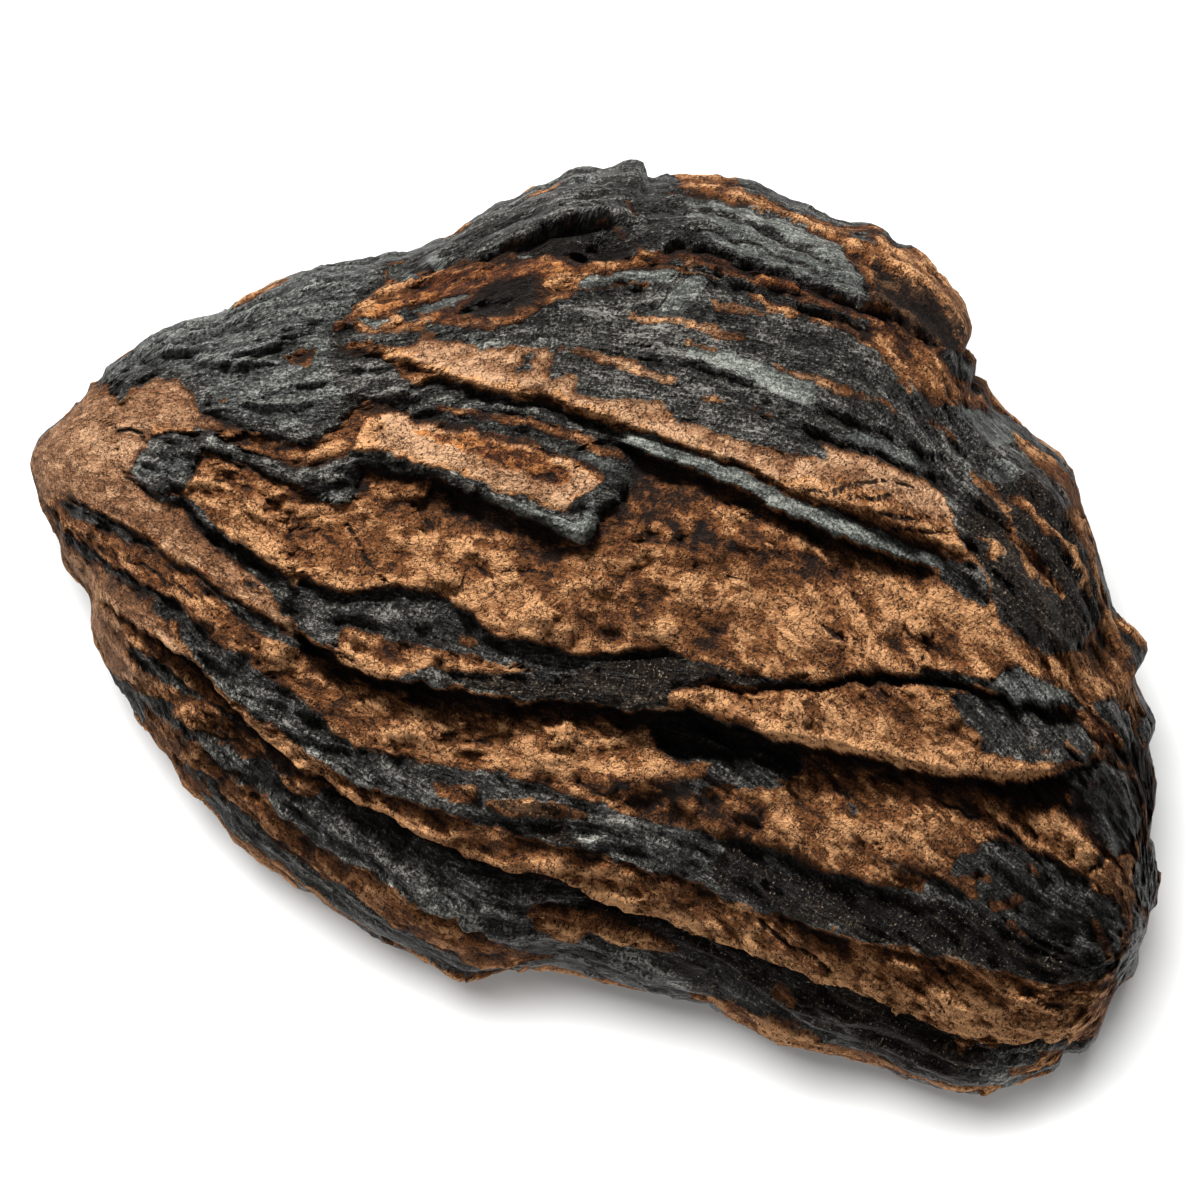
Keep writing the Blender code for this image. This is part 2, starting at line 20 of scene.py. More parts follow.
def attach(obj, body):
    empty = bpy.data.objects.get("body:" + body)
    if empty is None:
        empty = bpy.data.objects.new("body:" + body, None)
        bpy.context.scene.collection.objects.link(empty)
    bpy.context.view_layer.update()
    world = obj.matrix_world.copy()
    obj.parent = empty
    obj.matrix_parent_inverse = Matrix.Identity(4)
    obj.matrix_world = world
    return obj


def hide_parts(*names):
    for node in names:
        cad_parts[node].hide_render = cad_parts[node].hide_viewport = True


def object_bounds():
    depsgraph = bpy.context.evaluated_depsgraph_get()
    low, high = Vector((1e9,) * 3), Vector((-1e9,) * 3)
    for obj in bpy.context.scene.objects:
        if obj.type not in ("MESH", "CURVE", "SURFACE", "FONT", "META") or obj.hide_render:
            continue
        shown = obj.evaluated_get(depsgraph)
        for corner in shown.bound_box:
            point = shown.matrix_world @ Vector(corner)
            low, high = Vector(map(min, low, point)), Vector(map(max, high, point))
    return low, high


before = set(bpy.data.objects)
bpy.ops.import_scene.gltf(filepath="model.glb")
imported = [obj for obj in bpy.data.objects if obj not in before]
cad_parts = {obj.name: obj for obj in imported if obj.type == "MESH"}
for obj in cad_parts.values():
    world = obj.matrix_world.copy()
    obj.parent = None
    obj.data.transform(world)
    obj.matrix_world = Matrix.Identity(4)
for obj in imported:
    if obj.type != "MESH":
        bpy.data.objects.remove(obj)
CAD_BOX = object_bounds()

LOG = logging.getLogger("mammoth_tooth")
Array = np.ndarray
Socket = bpy.types.NodeSocket


class Stuff(Enum):
    """What the surface is made of at a place."""

    CEMENT = "cement"
    ENAMEL = "enamel"
    PLATE = "plate"
    BLUE = "blue"
    SILVER = "silver"
    RUST = "rust"
    TAN = "tan"
    DARK = "dark"
    FLECK = "fleck"


@dataclass(frozen=True)
class Mark:
    """A place on the tooth with one finish: an outline a, h, ... or a line a, h, half width, ..."""

    stuff: Stuff
    points: tuple[float, ...]
    line: bool = False


class Layer(NamedTuple):
    """A layer of noise: strength, size of its lumps in millimetres, pattern, and shrink along the plates."""

    strength: float
    size: float
    seed: int
    along: float = 1.0


NEAR = 3.0  # millimetres within which distances to marks are kept
FAR = 1e9  # millimetres, more than any distance on the tooth
TINY = 1e-9  # keeps a division by the length of a very short stretch possible
PATTERN_STEP = 17.37  # lattice cells between one pattern of noise and the next
HASH_FACTORS = (73856093, 19349663, 83492791)
HASH_MIX = 1274126177

# The colour of the cracks, also used for the painted shade in deep hollows and the painted shadow where the
# stains are darkest.
CRACK_AND_SHADE_COLOUR = (22, 15, 11)
# The colour of the pits, also used for painted shade along the cement side of the enamel's edge.
PIT_AND_EDGE_SHADE_COLOUR = (34, 19, 11)
SPECK_COLOUR = (206, 190, 164)

# What moves the places at which ledges and marks are read, along the plates and across them.
WANDER_ALONG = (Layer(1.0, 9, 1), Layer(0.6, 2.6, 2), Layer(0.35, 1.4, 10))
WANDER_ACROSS = (Layer(0.8, 7, 3, 0.45), Layer(0.55, 2.3, 4), Layer(0.35, 1.3, 11))

# Where the showing side ends behind the rim, the roughness of all ledges, the clouds of the stains, and the
# grit of the enamel.
FRONT_EDGE = (Layer(0.13, 13, 12), Layer(0.06, 4.5, 13))
ROUGHNESS = (Layer(0.9, 15, 7, 0.45), Layer(0.5, 5.5, 8, 0.45), Layer(0.25, 2.4, 9, 0.45))
STAIN_CLOUD = (Layer(0.16, 12, 31, 0.35), Layer(0.12, 5, 32, 0.35), Layer(0.08, 2.3, 33, 0.35))
ENAMEL_GRIT = (Layer(0.5, 1.4, 22), Layer(0.3, 2.9, 23))

# Millimetres over which a ledge fades at its ends, and those over which its edge drops.
LEDGE_FADE = 5.0
LEDGE_EDGE = 0.9

# How places are shrunk along the plates, which draws out what is read there.
FIBRES = (0.1, 1, 1)
SPLINTERS = (0.3, 1, 1)
FLAKES = (0.55, 1, 1)
CREASES = (0.6, 1, 1)

# Steps of the flakes on each side of their middle height, and the share of a step that is its edge.
FLAKE_STEPS = 2.4
FLAKE_EDGE = 0.3

# The walls beside the upper and the lower rim start at these cosines of the turn around the tooth. There the
# marks move along by up to so many millimetres, and the enamel's edge is drawn out into streaks.
UPPER_WALL = 0.955
LOWER_WALL = 0.965
WALL_FADE = 0.03
WALL_SHIFT = 6
WALL_STREAK = 8

# Bands of the hidden side: how many, the place of the first and the step to the next, -1 and 1 at the rims.
BACK_BANDS = 11
BACK_FIRST = -0.9
BACK_STEP = 0.18
BAND_HALF = 2.6  # usual half width in millimetres, as the next is that of a crest
CREST_HALF = 0.3

# Where the relief fades: shares of the length at the tip and at the broad end, and the cosine of the turn
# around the tooth from which it halves towards the rims.
TIP_FADE = 0.04
END_FADE = 0.03
RIM_CALM = 0.85
RIM_FADE = 0.15

# Half windows, in rings and lines, of the wide and the close mean that hollows are measured from, and the
# millimetres that span their values.
# The material paints shade into the hollows and creases so found, and a highlight onto the crests.
WIDE = (8, 14)
WIDE_SPAN = 7
CLOSE = (2, 4)
CLOSE_SPAN = 1.6

# Stuffs that lie over plain cement and over plain enamel, and how torn their edges are.
CEMENT_STUFFS = {Stuff.TAN: 5.0, Stuff.RUST: 4.0, Stuff.DARK: 4.0}
ENAMEL_STUFFS = {Stuff.PLATE: 3.0, Stuff.BLUE: 1.2, Stuff.SILVER: 2.4, Stuff.FLECK: 3.0}
ENAMEL_TEAR = 1.7

# The rim as seen from the showing side, from the tip to the broad end: a, h, a, h, ...
UPPER = (
    -1.3, 0, -1.2, 2.5, -0.5, 4, 0.5, 5.2, 2, 8, 3, 10.3, 3.6, 11.5, 3.4, 13.3, 4.8, 14.5, 4.8, 16.2, 6,
    17.8, 7.5, 19.8, 9, 22.5, 10.5, 24.3, 13, 26.8, 15, 28, 17.5, 29.3, 19.5, 31, 20.5, 33, 21.8, 35, 25,
    38.3, 28, 41, 32, 44.5, 35, 46, 39, 48, 40, 49.3, 42, 50.2, 44, 52, 46, 54, 49, 56, 50, 58, 52, 60.5,
    54, 63.3, 56, 64.8, 58, 67.3, 60, 68.8, 61.5, 69.8, 62.3, 71.5, 64, 73.2, 67, 74, 68, 74, 70, 76, 72,
    77, 73.5, 77, 74.5, 76.3, 75, 75.2, 77, 76.5, 80, 78, 82, 78.5, 86, 79.8, 88, 80.6, 91, 81.3, 92.3,
    81.5, 94, 81, 100, 81, 105, 80.5, 108, 81, 110, 82, 112, 82.4, 114, 81.7, 116, 80.3, 118, 80.5, 120,
    79.8, 124, 78, 128, 75.5, 131, 73, 132.3, 71.2, 132.3, 70, 132, 68.2, 134, 67.8, 134.8, 66.5, 135, 64.8,
    137, 64.6, 138, 63.5, 140, 62, 143, 60.5, 145, 59.7, 148, 58.6, 150, 58.2, 152, 57.8, 155, 56.5, 157,
    54, 158.5, 51.3, 160, 50, 163, 46.5, 166, 42.5, 168, 40, 169.5, 37.5, 171, 37, 174, 35.5, 176.5, 34,
    176.9, 32.8, 176, 30.8, 175.3, 30, 175.8, 29, 178, 26.5, 180, 25, 182, 23.3, 182.5, 21.7, 181.8, 20,
    183, 18.5, 185, 15.5, 186, 13, 186.8, 10, 186.8, 7, 187, 6, 189, 4.2, 191, 1.8, 192, 0, 192, -1.8,
    192.8, -3.2, 191.5, -4.8, 192, -6.5, 192.6, -8,
)
LOWER = (
    -1.3, 0, -1, -2, 0, -3.5, 3, -7, 4.5, -8.5, 6.5, -10.3, 8, -12, 9.5, -14.5, 12, -16.3, 15, -17.8, 16,
    -19, 17, -21.5, 17.5, -23.2, 19, -24.8, 21, -26.3, 23, -28.3, 25, -30, 28, -32, 31, -34, 33, -35, 36,
    -37, 39, -39.5, 40, -40.7, 43, -42, 46, -43, 48, -44, 49.5, -45, 51, -46, 54, -46.8, 57, -47.8, 60,
    -48.2, 64, -49.6, 66, -49.5, 70, -51, 75, -51.9, 80, -52.8, 85, -53.2, 90, -53.6, 93, -54, 96, -52.5,
    100, -49.8, 105, -47.5, 110, -46.6, 115, -46.3, 120, -45.8, 125, -44.8, 132, -43.5, 135, -44.3, 140,
    -45, 145, -45.2, 150, -44.8, 155, -43.5, 160, -43, 165, -43.5, 170, -43, 175, -42.2, 177.5, -41.5, 180,
    -39.5, 182, -37.8, 184.5, -35.8, 186.5, -34.2, 187.3, -33, 187, -31.5, 188, -30.7, 190, -29.8, 190.7,
    -28.5, 191.3, -26.5, 191.3, -24, 191.2, -21, 191.3, -18.5, 192, -17, 193.2, -15, 193.3, -13.5, 192.7,
    -12, 192, -10, 192.6, -8,
)

# Ledges between plates: lift above the edge and its fade, drop below it and its fade, then the edge's path.
LEDGES = (
    # crust of the upper left, and the ridge that ends broken off over a hollow
    (1, 4, 1.8, 2.5, (5, 15, 7, 16.5, 9, 19.5, 12, 20.3, 16, 23.8, 21, 23, 25, 24.8, 27, 28, 29, 31, 33, 34,
        36, 37.5)),
    (1.4, 5, 2.6, 3.5, (44, 49, 48, 51, 52, 53.5, 57, 57, 61, 61, 65, 65, 70, 67.6, 74, 67.4, 77, 65.3)),
    # stack of plates along the top
    (0.5, 2, 0.9, 1.6, (76, 74, 80, 75.3, 84, 76.6, 90, 77.4, 97, 77.6, 103, 77.3, 108, 76.5, 113, 75.8,
        124, 75.6)),
    (0.4, 1.5, 0.6, 1, (78, 72.8, 84, 73.5, 90, 74.5, 97, 74.7, 103, 74.2, 110, 73.5)),
    (0.4, 1.5, 0.5, 1, (80, 70.5, 86, 71, 91, 72, 97, 71, 104, 71.5, 111, 71.5)),
    (0.9, 3, 2, 2, (78, 65.2, 80, 65.5, 83, 67.3, 87, 69, 90, 69.3, 97, 69, 103, 69.6, 112, 69.7, 120, 70.3,
        126, 68.8, 131, 68.3)),
    (0.3, 2, 1.6, 1.4, (80, 64, 84, 65, 90, 65.3, 95, 65.8, 103, 65.8, 108, 66.3, 113, 66.5, 120, 66.2)),
    # dark slab and its layers
    (0.4, 2, 0.8, 1.2, (92, 57.6, 98, 57.4, 105, 56.8, 115, 56.4, 125, 56.6, 130, 56.2)),
    (0.9, 2.5, 1.5, 1.6, (79, 50.5, 85, 50.9, 90, 51.2, 95, 51.4, 103, 51.3, 110, 50.9, 118, 51.3, 126,
        51.2, 136, 50.8, 140, 51.5)),
    (0.5, 1.5, 1.2, 1.2, (96, 47.3, 105, 47.6, 115, 47.8, 120, 48, 128, 48, 134, 48.6, 140, 49)),
    (1, 4, 1.6, 1.6, (40, 33.4, 45, 34.3, 50, 34.6, 55, 34.8, 60, 35.4, 65, 35.7, 70, 37, 75, 37.7, 80, 38,
        92, 38, 98, 38.2, 110, 38.3, 115, 37.8, 120, 37.2, 130, 36.9, 141, 37)),
    (0.3, 2, 2.6, 1.8, (49, 30.8, 53, 33.3, 56, 34.4, 60, 35, 66, 35.4, 72, 36.2, 80, 36.8, 89, 36.5)),
    (0.3, 1, 0.9, 1, (56, 31, 60, 32.3, 66, 33.2, 72, 34, 80, 34.2, 87, 33.8)),
    (1.8, 3, 4.6, 4, (85, 35, 92, 34.9, 100, 34.8, 108, 34.3, 115, 33.6, 122, 33.1, 130, 33, 136, 33.4, 143,
        33.4)),
    # short slab with a broken end, and the line of enamel below it
    (-1.2, 4, 0, 1, (50, 25.5, 62, 25.3, 72, 25.3, 84, 25.3)),
    (0.5, 2, 2.4, 3, (45, 15.4, 48, 16.6, 52, 17.3, 58, 18.5, 66, 18.9, 74, 18.7, 80, 18.3, 86.5, 17.8)),
    # wide bulge, the speckled lens below it and the tongue at the right
    (1.2, 5, 2.4, 2.6, (19, 0.5, 24, 1.8, 27, 0, 30, -1.2, 34, -1.7, 40, -2.5, 43, -4, 46, -3, 50, -3, 52,
        -3.2, 55, -1.5, 60, 0.5, 66, 2.2, 72, 2, 73.5, 1.8, 75, 0, 79, -0.8, 82, 0.3, 88, 1, 92, 1.3, 96,
        2.6, 100, 4.5, 105, 6.3, 110, 6)),
    (1, 5, 2.6, 3.5, (109, 2, 114, 4, 120, 5.4, 126, 8.6, 130, 11, 135, 13.5, 140, 16, 145, 17.6, 150, 18.4,
        155, 18.8, 160, 18.5, 166, 19.5, 171, 21)),
    (2, 5, 6.2, 4.2, (47, -11.8, 52, -12.5, 55, -13, 60, -13.7, 65, -13, 68, -12.3, 72, -12, 80, -10.3, 86,
        -9, 90, -7, 95, -5.5, 100, -5, 104, -4.8, 108, -3.2, 112, -1.8, 116, -1, 120, -0.3, 128, 0.3, 134,
        1, 140, 1.8, 146, 2.5, 152, 4, 158, 5, 162, 6, 166, 7.5, 170, 10, 174, 13)),
    (-0.9, 3, 0, 1, (124, 1.6, 130, 2.6, 135, 3.2, 142, 4, 146, 6.2, 155, 5.7, 162, 6.2)),
    # bands of the lower half
    (0.8, 3, 0.9, 1.5, (31, -20, 34, -21.5, 37, -23.5, 41, -25, 47, -27.3, 52, -28.5, 60, -29.8, 66, -30.9,
        70, -31, 80, -30.2, 90, -29, 100, -29, 103, -28, 110, -27.5, 120, -26.3, 124, -26, 129, -27.2, 133,
        -27, 140, -25.8, 150, -25.5, 160, -24, 170, -22.2, 180, -22, 187, -20.5, 190, -16)),
    (1.2, 4, 4.2, 3, (26, -20.8, 35, -22.5, 41, -25.8, 45, -28.5, 50, -30.2, 53, -30.8, 57, -31.5, 62, -32,
        65, -33.5, 69, -34.2, 72, -34, 77, -36, 80, -35.7, 90, -36.5, 95, -35.6, 98, -34.5, 101, -34.2, 106,
        -35, 112, -34.8, 120, -34.3, 130, -34.3, 136, -33.8, 147, -34.5, 150, -33.6, 155, -33.3, 160, -34.3,
        175, -34.8, 180, -32, 184, -30, 188, -28, 191, -25)),
    (0.6, 2, 0.9, 1.6, (30, -32.5, 35, -33, 42, -35.5, 48, -37.5, 53, -39, 58, -40.3, 63, -42, 68, -43.2,
        74, -44.2, 80, -45.4, 85, -46, 97, -46.7, 103, -46, 110, -45.6, 122, -44.6)),
    (0.8, 3, 1.3, 2, (33, -35, 40, -37.5, 44, -39, 48, -41, 53, -42, 58, -43.7, 64, -45.7, 70, -47, 74,
        -48.5, 80, -50.3, 90, -50.4, 95, -51.3, 98, -50.3, 103, -48.3, 109, -46.8)),
    # thin layers that run to the tip
    (0.6, 3, 1.2, 2, (4, -4.6, 9, -4.6, 14, -5.4, 18, -6.2, 23, -7.4, 30, -9, 36, -10.2, 42, -11, 48, -12)),
    (0.5, 3, 0.9, 2, (3, -6, 7, -8.4, 10, -10, 14, -11.8, 18, -12.6, 24, -13.2, 29, -14, 32, -15.5)),
    (0.6, 3, 1.4, 2, (15, -18.3, 18, -18.7, 22, -20, 26, -21, 30, -21.6, 36, -22.8)),
    (0.5, 2, 0.8, 1.5, (17, -21, 21, -22, 25, -23.6, 30, -25.2, 35, -26, 40, -27.6, 46, -29.6)),
    (0.4, 2, 0.8, 1.5, (20, -26, 25, -28.6, 29, -30, 33, -31, 38, -32, 46, -33)),
)

# Raised and sunken places: height, softness of the edge, then the outline. Negative heights are hollows.
PATCHES = (
    (1.3, 1.2, (3, 13, 5, 14.6, 9.8, 12.3, 10.3, 15, 14.5, 18.6, 17, 19, 21, 16.2, 25, 15.7, 36, 16, 39.5,
        16.5, 43, 20.5, 45.5, 26.3, 51, 27.5, 54, 31.5, 47.5, 33.2, 45, 34, 39.5, 32.5, 37, 36, 38, 41, 44,
        50, 40, 52, 25, 41, 12, 28, 3, 18)),
    (-2, 2, (60, 59.5, 64, 61, 67, 61.5, 68, 63, 71, 66.5, 74, 67, 77, 64.8, 78, 63.5, 74, 61.5, 70, 59.5,
        66, 58.5, 62, 58)),
    (-1.5, 1.8, (55, 45, 60, 48, 64, 52, 63, 54.5, 60, 51, 56, 48.5, 54.5, 46)),
    (1.2, 0.8, (113, 76.3, 115, 79.3, 118, 81, 122, 79.5, 127, 77, 131, 74, 133, 71, 131, 69.8, 126, 74,
        118, 75.8)),
    (1, 0.7, (128.5, 66.5, 131, 68.4, 134, 68, 135.3, 65, 133.5, 63.3, 131, 64.8)),
    (0.8, 0.7, (122, 67.5, 125, 68.3, 131, 63.8, 138, 60.5, 134, 60.5, 130, 63, 126, 65.3)),
    (1.2, 0.8, (70, 56, 74, 57.3, 80, 59.8, 84.5, 61.5, 86, 63, 84, 63.8, 80, 62, 75, 59.5, 70, 57.3)),
    (2.4, 1.2, (114, 38.2, 120, 37.6, 130, 37.4, 139, 37.4, 145, 38, 145, 41, 142, 43.4, 138, 46, 132, 47.3,
        124, 46.8, 117, 46, 113, 42)),
    (3.4, 0.9, (46.5, 17.6, 52, 18.2, 58, 19.2, 65, 19.5, 72, 19.2, 80, 18.7, 86.3, 18, 88, 21, 89, 25,
        90.3, 30.3, 86, 29.6, 80, 29.9, 70, 29.3, 64, 28.8, 58, 27.5, 50, 26.6, 46.5, 24)),
    (2.3, 0.7, (21.5, 13.2, 24, 13.6, 31, 12.7, 37, 12.8, 41, 14, 44, 15.5, 47, 17.5, 48.8, 16, 49.6, 13,
        49, 10.5, 47, 9.6, 41, 10.3, 37, 9.7, 30, 10.2, 26, 10.8, 23, 11)),
    (2, 0.6, (15, 3.5, 15, 9.3, 16.5, 10.5, 20, 11.6, 23.3, 11, 23.4, 6, 22.5, 3.5, 20.5, 1.5, 18.5, 0.5)),
    (1, 0.8, (87, -7, 92, -2, 96, 1, 98, 3, 107, 5.8, 112, 6.5, 118, 7, 126, 9, 120, 5.5, 114, 4.5, 109,
        2.5, 108, -2.5, 105, -4.3, 97, -4.6)),
    (2.2, 1, (105, -2.4, 112, -1.6, 120, 0, 128, 0.5, 140, 2, 150, 4, 158, 5, 165, 7.5, 170, 10, 174, 14,
        175, 17, 172, 18.3, 160, 18.5, 150, 18.2, 140, 15, 130, 10, 120, 5, 112, 3.5)),
    (-2.8, 1, (106, -6, 109, -3.5, 114, -1.5, 131.5, -0.5, 132.5, -4, 131, -6, 127, -5.5, 122, -6, 117,
        -8.5, 113, -9.5, 109, -9)),
    (1, 0.8, (99, -39.5, 101, -38.7, 106, -38.2, 110, -37, 121, -37.5, 123, -38.5, 113, -40.5, 109, -40.2,
        104, -42.3, 98.8, -40.8)),
    (0.9, 0.8, (155.5, 20, 157, 23.5, 159, 24.2, 167, 23.3, 171.5, 21.3, 164, 19.5, 160, 18.5, 157, 18.8)),
    (1, 0.7, (171, 11.5, 176, 15.3, 179, 14.8, 182, 12.8, 184.2, 9.5, 185.3, 6.5, 184.8, 4.5, 183.2, 2.2,
        181.6, 2.6, 179.5, 4.8, 175, 9.2, 171, 9.6)),
    (0.9, 0.7, (171.5, 23.5, 174, 24.8, 177, 23.7, 179.8, 20, 178, 16.8, 176, 20.5, 173, 21.8)),
    (-1.4, 1.2, (172, 17, 176, 17, 181, 15, 185, 11, 186.5, 6, 186.8, 12, 184, 17, 180, 19, 176, 19)),
)

# Round-ended fingers of the plates at the upper right: height, half width, then the line of each.
FINGERS = (
    (2.4, 2.6, (139, 50, 146, 47.5, 152, 45, 158, 42, 163, 38, 165.5, 34)),
    (2.4, 2.8, (140, 45, 146, 42.5, 151, 39.5, 156, 36, 161, 33, 164, 30.5)),
    (1.8, 2.4, (143, 38, 148, 36, 153, 32.5, 158, 30.4, 162, 29)),
    (1.6, 2, (140, 55.5, 146, 54, 151, 51.8, 156, 49, 160, 45.5, 164, 40)),
)

